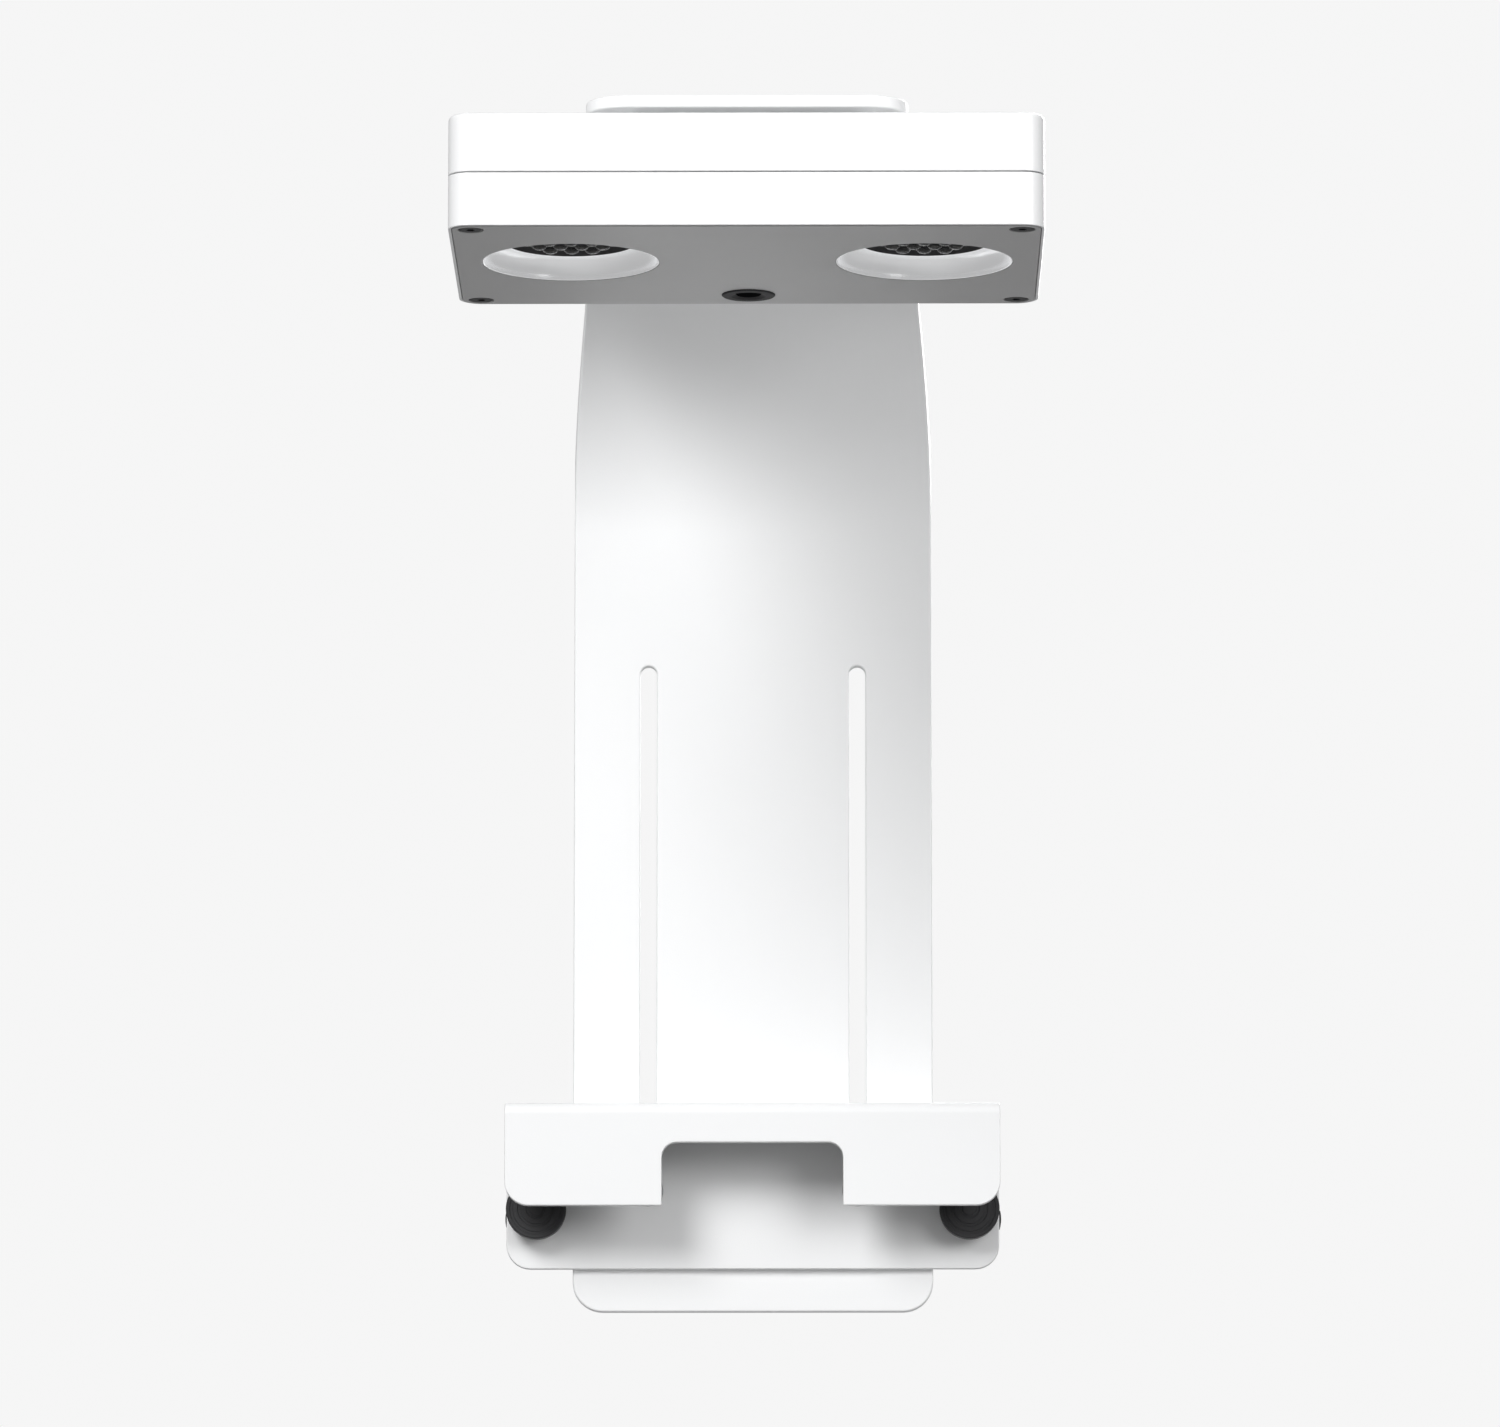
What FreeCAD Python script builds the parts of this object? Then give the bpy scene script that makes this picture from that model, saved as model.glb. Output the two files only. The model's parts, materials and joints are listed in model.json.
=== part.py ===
import FreeCAD, Part
import math
import os

# LED aquarium light: a flat lamp head on a wide bent arm, held by a clamp on the rear glass of a tank.
# Millimetres. +X is to the right and +Y away from someone in front of the tank, +Z is up.
# Origin: centre of the light's width, on top of the rear glass (Z = 0), at that glass's inner face (Y = 0).

V = FreeCAD.Vector
X, Y, Z = V(1, 0, 0), V(0, 1, 0), V(0, 0, 1)

# ---- overall sizes ----
GLASS_T = 12.0            # glass the clamp is set to
HEAD_W, HEAD_D, HEAD_H = 184.0, 118.0, 36.0
HEAD_BOTTOM = 237.0       # underside of the head above the rim
HEAD_REACH = 310.0        # head's front face in front of the glass's outer face
HEAD_CORNER_R = 7.0
HEAD_TOP_EDGE_R = 1.6
LOWER_H = 17.0            # lower casing, up to the seam
SEAM = 0.3
WALL = 2.5
ARM_W, ARM_NOSE_W, ARM_T = 120.0, 100.0, 4.0
ARM_BEND_R = 76.0         # inside radius of the bend
ARM_NOSE_CORNER_R = 13.0
ARM_BOTTOM_CORNER_R = 10.0
ARM_BOTTOM = -62.0
NOSE_SETBACK = 16.0       # arm's front end behind the head's front face
AIR_SPACE = 5.0           # between the head's top and the arm
ARM_WAISTS = ((42.7, 4.5), (95.0, 6.4), (170.0, 8.2))  # (distance forward of the upright, loss of half width)

# ---- clearances ----
RUN = 0.05                # sliding and turning fits, per side
THREAD = 0.03             # thread against its nut, per side
FREE = 0.2                # loose holes and trim, per side

# ---- clamp ----
THROAT = 22.0             # inner face of the glass to the back plate
SHEET = 3.0
BRACKET_W = 164.0
JAW_DROP, BACK_DROP = 30.0, 48.0
JAW_NOTCH_W = 60.0
BRACKET_CORNER_R = 8.0
BEND_IN = 1.0             # inside radius of the bracket's folds
PAD_T = 2.0               # rubber on the jaws
RIM_PAD_T = 1.5
STUD_X, STUD_Z = 35.0, -22.0
STUD_SHOULDER_R, STUD_R, STUD_PITCH = 2.7, 2.5, 0.8
STUD_HEAD_R, STUD_HEAD_T = 5.0, 1.5
SLOT_TOP, SLOT_BOTTOM = 156.0, -44.0
WASHER_R, WASHER_T = 9.5, 1.6
KNOB_R, KNOB_T = 13.0, 11.0
KNOB_COLLAR_R, KNOB_COLLAR_T = 6.5, 3.2
KNOB_INSERT_R = 4.5
STUD_REACH = 14.0         # thread behind the arm
CLAMP_X, CLAMP_Z = 72.0, -29.0
CLAMP_R = 3.0
CLAMP_TIP_R, CLAMP_TIP_L = 1.8, 2.3
CLAMP_SHAFT_L = 31.5
DISC_R, DISC_T, DISC_RUBBER_T = 10.0, 3.0, 1.5
BUSH_R, BUSH_FLATS, BUSH_L = 4.5, 11.0, 4.8
CLAMP_KNOB_R, CLAMP_KNOB_T = 11.0, 10.0
CLAMP_COLLAR_R, CLAMP_COLLAR_T = 6.0, 3.0

# ---- bottom plate and its screws ----
PLATE_T = 2.5
PLATE_RIM = 1.0           # casing left outside the plate
POST_R = 4.8
SCREW_SIDE, SCREW_FRONT, SCREW_REAR = 7.0, 6.5, 7.0
SCREW_R, SCREW_HEAD_R, SCREW_HEAD_T = 1.5, 3.8, 1.5
SCREW_L = 24.0

# ---- light units ----
BOWL_PITCH = 110.5
BOWL_Y = 54.0             # behind the head's front face
BOWL_R, NECK_R = 27.5, 20.4
BOWL_DEPTH = 6.2
BOWL_FLANGE_R, BOWL_FLANGE_T = 30.0, 1.0
ARRAY_T = 1.9
LED_PITCH = 6.6
LENS_R, LENS_BULGE, LENS_T = 2.5, 1.1, 1.2
CHIP, CHIP_T = 2.2, 0.6
LED_BOARD_R, LED_BOARD_T = 27.5, 1.6
LED_SCREW_RING = 24.8
LED_SCREW_R, LED_SCREW_HEAD_R, LED_SCREW_HEAD_T, LED_SCREW_L = 1.0, 1.9, 1.3, 4.5

# ---- cooling ----
SINK_W, SINK_D, SINK_T = 162.0, 81.0, 4.0
FIN_T, FIN_PITCH, FIN_H, FIN_LOW_H = 1.4, 5.4, 15.0, 6.5
SINK_POST_R, SINK_POST_INSET = 3.5, 4.5
SINK_SCREW_HEAD_R, SINK_SCREW_HEAD_T, SINK_SCREW_L = 2.8, 1.8, 8.5
FAN_SIZE, FAN_T, FAN_HOLE_PITCH = 60.0, 10.0, 50.0
FAN_RISE = 8.0            # fan above the heat sink's base
FAN_BORE_R, HUB_R, FAN_SHAFT_R = 28.2, 14.0, 1.5
FAN_FOOT_T = 1.6
BLADES, BLADE_T, BLADE_TILT = 7, 1.1, 38.0
VENT_RINGS = (8.0, 13.0, 18.0, 23.0)
VENT_SLOT, VENT_SPOKE = 3.0, 3.0
LOUVRES, LOUVRE_PITCH, LOUVRE_W, LOUVRE_H = 13, 5.2, 2.4, 10.0

# ---- electronics ----
BOARD_W, BOARD_D, BOARD_T = 84.0, 17.5, 1.6
BOARD_X, BOARD_RISE = -30.0, 3.5
BOARD_POST_R = 2.6
BUTTON_POST_X = -16.0     # board post beside the button
SOCKET_X, SOCKET_RISE = -30.0, 4.4
SOCKET_W, SOCKET_D, SOCKET_H = 9.0, 13.0, 8.6
SOCKET_NOSE_R, SOCKET_BORE_R, SOCKET_PIN_R, SOCKET_DEPTH = 4.1, 2.8, 1.0, 11.8

# ---- control button ----
BUTTON_BACK = 15.3        # centre in front of the head's rear face
BEZEL_R, BEZEL_T, BEZEL_TUBE_R = 8.5, 0.5, 6.9
BUTTON_R, BUTTON_TRAVEL = 4.0, 1.0
COLLAR_R, COLLAR_T = 5.2, 1.0
SPRING_R, SPRING_WIRE_R, SPRING_TURNS = 4.25, 0.25, 2
SWITCH, SWITCH_T = 5.0, 1.1

# ---- head to arm ----
JOIN_X, JOIN_FRONT, JOIN_PITCH = 38.0, 14.0, 50.0
JOIN_R, JOIN_HEAD_R, JOIN_HEAD_T = 2.0, 3.8, 2.2
SPACER_R = 5.0
NUT_FLATS, NUT_T = 7.0, 3.2

# ---- cable cover ----
COVER_W, COVER_DEPTH, COVER_WALL, COVER_EDGE_R = 34.0, 9.0, 1.6, 2.2
COVER_BOTTOM = -58.0
COVER_FRONT = 12.0        # end of the cover behind the head's rear face
HOLE_BACK = 16.0          # cable hole behind the cover's front end
CABLE_HOLE_R, GROMMET_WALL, GROMMET_LIP = 8.0, 1.6, 1.4

# ---- derived positions ----
HEAD_Y0 = GLASS_T - HEAD_REACH
HEAD_Y1 = HEAD_Y0 + HEAD_D
HEAD_CY = (HEAD_Y0 + HEAD_Y1) / 2
HEAD_TOP = HEAD_BOTTOM + HEAD_H
SEAM_Z = HEAD_BOTTOM + LOWER_H
CEILING = HEAD_TOP - WALL
PLATE_TOP = HEAD_BOTTOM + PLATE_T
BACK_Y = THROAT + SHEET
ARM_Y0 = BACK_Y + RUN
ARM_Y1 = ARM_Y0 + ARM_T
ARM_UNDER = HEAD_TOP + AIR_SPACE
ARM_TOP = ARM_UNDER + ARM_T
BEND_Y, BEND_Z = ARM_Y0 - ARM_BEND_R, ARM_UNDER - ARM_BEND_R
NOSE_Y = HEAD_Y0 + NOSE_SETBACK
SLOT_R = STUD_SHOULDER_R + RUN
BOWL_CY = HEAD_Y0 + BOWL_Y
BOWL_RIM_Z = HEAD_BOTTOM + FREE
ARRAY_Z = BOWL_RIM_Z + BOWL_DEPTH
LED_BOARD_Z = ARRAY_Z + ARRAY_T
SINK_Z = LED_BOARD_Z + LED_BOARD_T
SINK_TOP = SINK_Z + SINK_T
FAN_Z = SINK_TOP + FAN_RISE
BOARD_Z = PLATE_TOP + BOARD_RISE
BUTTON_Y = HEAD_Y1 - BUTTON_BACK
BOARD_CY = BUTTON_Y + 0.5
CORNERS = [(sx * (HEAD_W / 2 - SCREW_SIDE), y) for sx in (-1, 1)
           for y in (HEAD_Y0 + SCREW_FRONT, HEAD_Y1 - SCREW_REAR)]
BOWLS = {"left": -BOWL_PITCH / 2, "right": BOWL_PITCH / 2}
SINK_POSTS = [(sx * (SINK_W / 2 - SINK_POST_INSET), BOWL_CY + sy * (SINK_D / 2 - SINK_POST_INSET))
              for sx in (-1, 1) for sy in (-1, 1)]
FAN_HOLES = [(sx * FAN_HOLE_PITCH / 2, BOWL_CY + sy * FAN_HOLE_PITCH / 2)
             for sx in (-1, 1) for sy in (-1, 1)]
JOINS = [(sx * JOIN_X, NOSE_Y + JOIN_FRONT + dy) for sx in (-1, 1) for dy in (0, JOIN_PITCH)]
BOARD_POSTS = [(BOARD_X - BOARD_W / 2 + 6, BOARD_CY), (BUTTON_POST_X, BOARD_CY)]
COVER_END_Y = HEAD_Y1 + COVER_FRONT
CABLE_HOLE_Y = COVER_END_Y + HOLE_BACK
SIDES = {"left": -1, "right": 1}


# ---- shape helpers ----
def arc(a, via, b):
    return Part.Arc(a, via, b).toShape()


def face(edges):
    return Part.Face(Part.Wire(Part.__sortEdges__(edges)))


def polygon(points):
    return Part.Face(Part.makePolygon(points + points[:1]))


def prism(cx, cy, w, d, r, z0, z1):
    """Upright block of plan w x d about (cx, cy), its plan corners rounded by r."""
    hx, hy, k = w / 2, d / 2, r * (1 - math.sqrt(0.5))
    edges = []
    for sx, sy, first_x in ((1, -1, True), (1, 1, False), (-1, 1, True), (-1, -1, False)):
        a = V(cx + sx * (hx - r), cy + sy * hy, z0)
        b = V(cx + sx * hx, cy + sy * (hy - r), z0)
        edges.append(arc(a, V(cx + sx * (hx - k), cy + sy * (hy - k), z0), b))
    edges += [Part.makeLine(V(cx - hx + r, cy + s * hy, z0), V(cx + hx - r, cy + s * hy, z0)) for s in (-1, 1)]
    edges += [Part.makeLine(V(cx + s * hx, cy - hy + r, z0), V(cx + s * hx, cy + hy - r, z0)) for s in (-1, 1)]
    return face(edges).extrude(V(0, 0, z1 - z0))


def box(x0, x1, y0, y1, z0, z1):
    return Part.makeBox(x1 - x0, y1 - y0, z1 - z0, V(x0, y0, z0))


def rod(x, y, r, z0, z1):
    return Part.makeCylinder(r, z1 - z0, V(x, y, z0), Z)


def pin_y(x, z, r, y0, y1):
    return Part.makeCylinder(r, y1 - y0, V(x, y0, z), Y)


def hexagon_y(x, z, flats, y0, y1):
    r = flats / math.sqrt(3)
    pts = [V(x + r * math.cos(math.radians(60 * i)), y0, z + r * math.sin(math.radians(60 * i))) for i in range(6)]
    return polygon(pts).extrude(V(0, y1 - y0, 0))


def turned(x, y, profile, arcs=()):
    """Solid of revolution about the upright line at (x, y): profile of (radius, height), arcs of middle points."""
    edges = []
    mids = dict(arcs)
    for i, (a, b) in enumerate(zip(profile, profile[1:] + profile[:1])):
        pa, pb = V(x + a[0], y, a[1]), V(x + b[0], y, b[1])
        edges.append(arc(pa, V(x + mids[i][0], y, mids[i][1]), pb) if i in mids else Part.makeLine(pa, pb))
    return face(edges).revolve(V(x, y, 0), Z, 360)


def cut(shape, tools):
    return shape.cut(Part.makeCompound(tools)) if tools else shape


def fuse(shape, others):
    return shape.multiFuse(others).removeSplitter()


def solid(shape):
    return shape.Solids[0] if len(shape.Solids) == 1 else shape


def save(name, shape):
    shape = solid(shape)
    if not shape.isValid() or not shape.Solids:
        raise ValueError(name + " is not a valid solid")
    shape.exportStep("parts/%s.step" % name)


def group(name, solids):
    save(name, Part.makeCompound(solids))


def round_edges(shape, r, test):
    return shape.makeFillet(r, [e for e in shape.Edges if test(e)])


# ---- head: casings, plate and screws ----
def inset(step, z0, z1):
    return prism(0, HEAD_CY, HEAD_W - 2 * step, HEAD_D - 2 * step, HEAD_CORNER_R - step, z0, z1)


def upper_housing():
    top = lambda e: abs(e.BoundBox.ZMin - HEAD_TOP) < 1e-6
    body = round_edges(inset(0, SEAM_Z + SEAM, HEAD_TOP), HEAD_TOP_EDGE_R, top)
    body = body.cut(inset(WALL, SEAM_Z, CEILING))
    posts = [rod(x, y, POST_R, SEAM_Z, CEILING + WALL / 2) for x, y in CORNERS]
    body = fuse(body, posts)
    holes = [rod(x, y, SCREW_R + THREAD, SEAM_Z - 1, HEAD_BOTTOM + SCREW_L + 2) for x, y in CORNERS]
    holes += [rod(x, y, JOIN_R + FREE, CEILING - 1, HEAD_TOP + 1) for x, y in JOINS]
    spokes = [box(-FAN_BORE_R, FAN_BORE_R, BOWL_CY - VENT_SPOKE / 2, BOWL_CY + VENT_SPOKE / 2, CEILING - 1,
                  HEAD_TOP + 1)]
    spokes = [s.copy() for s in spokes for _ in range(3)]
    for i, s in enumerate(spokes):
        s.rotate(V(0, BOWL_CY, 0), Z, 60 * i)
    for r in VENT_RINGS:
        ring = rod(0, BOWL_CY, r + VENT_SLOT, CEILING - 0.5, HEAD_TOP + 0.5)
        ring = ring.cut(rod(0, BOWL_CY, r, CEILING - 1, HEAD_TOP + 1))
        holes.append(cut(ring, spokes))
    z = (SEAM_Z + HEAD_TOP) / 2 - LOUVRE_H / 2
    for i in range(LOUVRES):
        y = HEAD_CY + (i - (LOUVRES - 1) / 2) * LOUVRE_PITCH
        r = LOUVRE_W / 2
        for side in SIDES.values():
            x = side * HEAD_W / 2
            base = V(x - 2 * WALL, y, z + r)
            holes += [box(x - 2 * WALL, x + 2 * WALL, y - r, y + r, z + r, z + LOUVRE_H - r),
                      Part.makeCylinder(r, 4 * WALL, base, X),
                      Part.makeCylinder(r, 4 * WALL, base + V(0, 0, LOUVRE_H - 2 * r), X)]
    return cut(body, holes)


def lower_housing():
    lip_step, lip_t, lip_h, band = WALL + 0.15, 1.2, 2.3, 4.0
    body = inset(0, HEAD_BOTTOM + SEAM, SEAM_Z)
    body = body.cut(inset(WALL, PLATE_TOP, SEAM_Z + 1)).cut(inset(PLATE_RIM, HEAD_BOTTOM, PLATE_TOP))
    ring = inset(WALL - 0.5, SEAM_Z - band, SEAM_Z).cut(inset(lip_step + lip_t, SEAM_Z - band - 1, SEAM_Z + 1))
    lip = inset(lip_step, SEAM_Z - 1, SEAM_Z + lip_h).cut(inset(lip_step + lip_t, SEAM_Z - 2, SEAM_Z + lip_h + 1))
    lip = cut(lip, [rod(x, y, POST_R + FREE, SEAM_Z, SEAM_Z + lip_h + 1) for x, y in CORNERS])
    posts = [rod(x, y, POST_R, PLATE_TOP, SEAM_Z) for x, y in CORNERS]
    body = fuse(body, [ring, lip] + posts)
    holes = [rod(x, y, SCREW_R + FREE, HEAD_BOTTOM, SEAM_Z + 1) for x, y in CORNERS]
    holes.append(pin_y(SOCKET_X, BOARD_Z + BOARD_T + SOCKET_RISE, SOCKET_NOSE_R + 0.1, HEAD_Y1 - 6, HEAD_Y1 + 1))
    return cut(body, holes)


def bottom_plate():
    body = inset(PLATE_RIM + FREE, HEAD_BOTTOM, PLATE_TOP)
    posts = [rod(x, y, SINK_POST_R, PLATE_TOP, SINK_Z) for x, y in SINK_POSTS]
    posts += [rod(x, y, BOARD_POST_R, PLATE_TOP, BOARD_Z) for x, y in BOARD_POSTS]
    body = fuse(body, posts)
    holes = [rod(x, BOWL_CY, BOWL_R + FREE, HEAD_BOTTOM - 1, PLATE_TOP + 1) for x in BOWLS.values()]
    holes.append(rod(0, BUTTON_Y, BEZEL_TUBE_R + 0.1, HEAD_BOTTOM - 1, PLATE_TOP + 1))
    for x, y in CORNERS:
        holes += [rod(x, y, SCREW_HEAD_R + FREE, HEAD_BOTTOM - 1, HEAD_BOTTOM + SCREW_HEAD_T),
                  rod(x, y, SCREW_R + FREE, HEAD_BOTTOM, PLATE_TOP + 1)]
    holes += [rod(x, y, SCREW_R + THREAD, SINK_Z - 6.0, SINK_Z + 1) for x, y in SINK_POSTS]
    holes += [rod(x, y, 1.25 + THREAD, PLATE_TOP + 0.6, BOARD_Z + 1) for x, y in BOARD_POSTS]
    return cut(body, holes)


def screw(x, y, z_seat, up, r, length, head_r, head_t, drive_r):
    """Round-headed screw: seat plane at z_seat, head below it when the shank points up, above it otherwise."""
    s = 1 if up else -1
    shank = Part.makeCylinder(r, length, V(x, y, z_seat), V(0, 0, s))
    head = Part.makeCylinder(head_r, head_t, V(x, y, z_seat), V(0, 0, -s))
    outer = V(x, y, z_seat - s * head_t)
    head = round_edges(head, head_t * 0.35, lambda e: abs(e.BoundBox.ZMin - outer.z) < 1e-6)
    flats = [V(x + drive_r * math.cos(math.radians(60 * i)), y + drive_r * math.sin(math.radians(60 * i)), outer.z)
             for i in range(6)]
    return fuse(shank, [head]).cut(polygon(flats).extrude(V(0, 0, s * head_t * 0.6)))


# ---- light units ----
def led_points(cx):
    """Nineteen places in a hexagon of rows 3, 4, 5, 4, 3."""
    rise = LED_PITCH * math.sqrt(3) / 2
    return [(cx + (i - (n - 1) / 2) * LED_PITCH, BOWL_CY + row * rise)
            for row, n in ((-2, 3), (-1, 4), (0, 5), (1, 4), (2, 3)) for i in range(n)]


def reflector(cx):
    z0, z1, top = BOWL_RIM_Z, ARRAY_Z, LED_BOARD_Z
    flange = PLATE_TOP + BOWL_FLANGE_T
    mouth, neck = BOWL_R - 0.6, NECK_R
    profile = [(mouth, z0), (neck, z1), (neck, top), (neck + 1.4, top), (neck + 1.8, z1 + 0.5),
               (neck + 4.2, z1 - 0.9), (BOWL_R - 0.3, flange), (BOWL_FLANGE_R, flange),
               (BOWL_FLANGE_R, PLATE_TOP), (BOWL_R, PLATE_TOP), (BOWL_R, z0)]
    middle = (neck + 0.68 * (mouth - neck), z0 + 0.63 * BOWL_DEPTH)
    return turned(cx, BOWL_CY, profile, [(0, middle)])


def array_plate(cx):
    body = rod(cx, BOWL_CY, NECK_R - 0.1, ARRAY_Z, LED_BOARD_Z)
    return cut(body, [rod(x, y, LENS_R + RUN, ARRAY_Z - 1, LED_BOARD_Z + 1) for x, y in led_points(cx)])


def lens(x, y):
    tip = ARRAY_Z - LENS_BULGE
    middle = (LENS_R * 0.72, ARRAY_Z - LENS_BULGE * 0.62)
    return turned(x, y, [(0, tip), (LENS_R, ARRAY_Z), (LENS_R, ARRAY_Z + LENS_T), (0, ARRAY_Z + LENS_T)],
                  [(0, middle)])


def chip(x, y):
    h = CHIP / 2
    return box(x - h, x + h, y - h, y + h, LED_BOARD_Z - CHIP_T, LED_BOARD_Z)


def ring_points(cx):
    return [(cx + LED_SCREW_RING * math.cos(math.radians(a)), BOWL_CY + LED_SCREW_RING * math.sin(math.radians(a)))
            for a in (90, 210, 330)]


def led_board(cx):
    body = rod(cx, BOWL_CY, LED_BOARD_R, LED_BOARD_Z, SINK_Z)
    return cut(body, [rod(x, y, LED_SCREW_R + 0.1, LED_BOARD_Z - 1, SINK_Z + 1) for x, y in ring_points(cx)])


# ---- cooling ----
def heat_sink():
    base = box(-SINK_W / 2, SINK_W / 2, BOWL_CY - SINK_D / 2, BOWL_CY + SINK_D / 2, SINK_Z, SINK_TOP)
    fins = []
    count = int((SINK_D - FIN_T) / FIN_PITCH) + 1
    clear = FAN_SIZE / 2 + 3.0
    for i in range(count):
        y = BOWL_CY + (i - (count - 1) / 2) * FIN_PITCH - FIN_T / 2
        fins += [box(-SINK_W / 2, -clear, y, y + FIN_T, SINK_TOP, SINK_TOP + FIN_H),
                 box(clear, SINK_W / 2, y, y + FIN_T, SINK_TOP, SINK_TOP + FIN_H),
                 box(-clear, clear, y, y + FIN_T, SINK_TOP, SINK_TOP + FIN_LOW_H)]
    around = [rod(x, y, SINK_SCREW_HEAD_R + 1.2, SINK_TOP, SINK_TOP + FIN_H + 1) for x, y in SINK_POSTS]
    fins = cut(Part.makeCompound(fins), around)
    posts = [rod(x, y, 3.4, SINK_TOP, FAN_Z) for x, y in FAN_HOLES]
    body = fuse(base, fins.Solids + posts)
    holes = [rod(x, y, SCREW_R + FREE, SINK_Z - 1, SINK_TOP + 1) for x, y in SINK_POSTS]
    holes += [rod(x, y, SCREW_R + THREAD, SINK_TOP, FAN_Z + 1) for x, y in FAN_HOLES]
    for cx in BOWLS.values():
        holes += [rod(x, y, LED_SCREW_R + THREAD, SINK_Z - 1, SINK_Z + 3.3) for x, y in ring_points(cx)]
    return cut(body, holes)


def fan_frame():
    c = BOWL_CY
    body = prism(0, c, FAN_SIZE, FAN_SIZE, 4.0, FAN_Z, FAN_Z + FAN_T).cut(rod(0, c, FAN_BORE_R, FAN_Z - 1, FAN_Z + 20))
    spokes = [box(10, FAN_BORE_R + 1, c - 1.5, c + 1.5, FAN_Z, FAN_Z + FAN_FOOT_T) for _ in range(4)]
    for i, s in enumerate(spokes):
        s.rotate(V(0, c, 0), Z, 90 * i + 45)
    tube = rod(0, c, 3.6, FAN_Z, FAN_Z + FAN_T - 2.6)
    body = fuse(body, spokes + [rod(0, c, HUB_R - 1, FAN_Z, FAN_Z + FAN_FOOT_T), tube])
    holes = [rod(x, y, SCREW_R + FREE, FAN_Z - 1, FAN_Z + FAN_T + 1) for x, y in FAN_HOLES]
    holes.append(rod(0, c, FAN_SHAFT_R + RUN, FAN_Z + 0.6, FAN_Z + FAN_T))
    return cut(body, holes)


def fan_rotor():
    c, z0, z1 = BOWL_CY, FAN_Z + FAN_FOOT_T + 0.5, FAN_Z + FAN_T - 0.5
    hub = turned(0, c, [(HUB_R, z0), (HUB_R, z1 - 1.0), (HUB_R - 1.0, z1), (0, z1), (0, FAN_Z + 1.0),
                        (FAN_SHAFT_R, FAN_Z + 1.0), (FAN_SHAFT_R, z1 - 1.6), (HUB_R - 1.5, z1 - 1.6),
                        (HUB_R - 1.5, z0)])
    ring = rod(0, c, FAN_BORE_R - 0.6, z0, z1).cut(rod(0, c, HUB_R - 0.5, z0 - 1, z1 + 1))
    blades = []
    for i in range(BLADES):
        blade = box(0, FAN_BORE_R + 5, c - BLADE_T / 2, c + BLADE_T / 2, z0 - 6, z1 + 6)
        blade.rotate(V(0, c, (z0 + z1) / 2), X, BLADE_TILT)
        blade.rotate(V(0, c, 0), Z, i * 360.0 / BLADES)
        blades.append(blade.common(ring))
    return fuse(hub, blades)


# ---- electronics and button ----
def driver_board():
    body = box(BOARD_X - BOARD_W / 2, BOARD_X + BOARD_W / 2, BOARD_CY - BOARD_D / 2, BOARD_CY + BOARD_D / 2,
               BOARD_Z, BOARD_Z + BOARD_T)
    return cut(body, [rod(x, y, 1.35, BOARD_Z - 1, BOARD_Z + BOARD_T + 1) for x, y in BOARD_POSTS])


def board_chips():
    z = BOARD_Z + BOARD_T
    places = ((-58.0, 0.0, 7.0, 7.0, 1.2), (-46.0, -3.5, 6.0, 4.0, 1.2), (-46.0, 3.5, 6.0, 4.0, 1.2),
              (-6.0, 0.0, 8.0, 8.0, 3.6), (5.0, 0.0, 6.0, 9.0, 1.4))
    return [box(x - w / 2, x + w / 2, BOARD_CY + y - d / 2, BOARD_CY + y + d / 2, z, z + h)
            for x, y, w, d, h in places]


def board_capacitors():
    z = BOARD_Z + BOARD_T
    return [rod(x, BOARD_CY + y, 2.6, z, z + 6.5) for x, y in ((-21.0, -4.5), (-21.0, 4.5), (-38.5, 0.0))]


def dc_socket():
    z0 = BOARD_Z + BOARD_T
    zc, y1 = z0 + SOCKET_RISE, HEAD_Y1 - FREE
    y_body = HEAD_Y1 - WALL - 1.5
    body = box(SOCKET_X - SOCKET_W / 2, SOCKET_X + SOCKET_W / 2, y_body - SOCKET_D, y_body, z0, z0 + SOCKET_H)
    body = fuse(body, [pin_y(SOCKET_X, zc, SOCKET_NOSE_R, y_body - 1, y1)])
    body = body.cut(pin_y(SOCKET_X, zc, SOCKET_BORE_R, y1 - SOCKET_DEPTH, y1 + 1))
    return fuse(body, [pin_y(SOCKET_X, zc, SOCKET_PIN_R, y1 - SOCKET_DEPTH - 1, y1 - 1.5)])


def button_bezel():
    z0, z1, step = HEAD_BOTTOM - BEZEL_T, PLATE_TOP + 2.1, PLATE_TOP - 0.3
    return turned(0, BUTTON_Y, [(BUTTON_R + 1.6, z0), (BEZEL_R - 0.4, z0), (BEZEL_R, z0 + 0.3),
                                (BEZEL_R, HEAD_BOTTOM), (BEZEL_TUBE_R, HEAD_BOTTOM), (BEZEL_TUBE_R, z1),
                                (COLLAR_R + 0.3, z1), (COLLAR_R + 0.3, step), (BUTTON_R + RUN, step),
                                (BUTTON_R + RUN, z0 + 0.6)])


def control_button():
    z0, collar = HEAD_BOTTOM - BEZEL_T + 0.4, PLATE_TOP - 0.1
    return turned(0, BUTTON_Y, [(0, z0 + 0.25), (BUTTON_R - 0.9, z0), (BUTTON_R - 0.4, z0), (BUTTON_R, z0 + 0.4),
                                (BUTTON_R, collar), (COLLAR_R, collar), (COLLAR_R, collar + COLLAR_T),
                                (1.6, collar + COLLAR_T), (1.6, collar + COLLAR_T + 0.4),
                                (0, collar + COLLAR_T + 0.4)])


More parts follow.
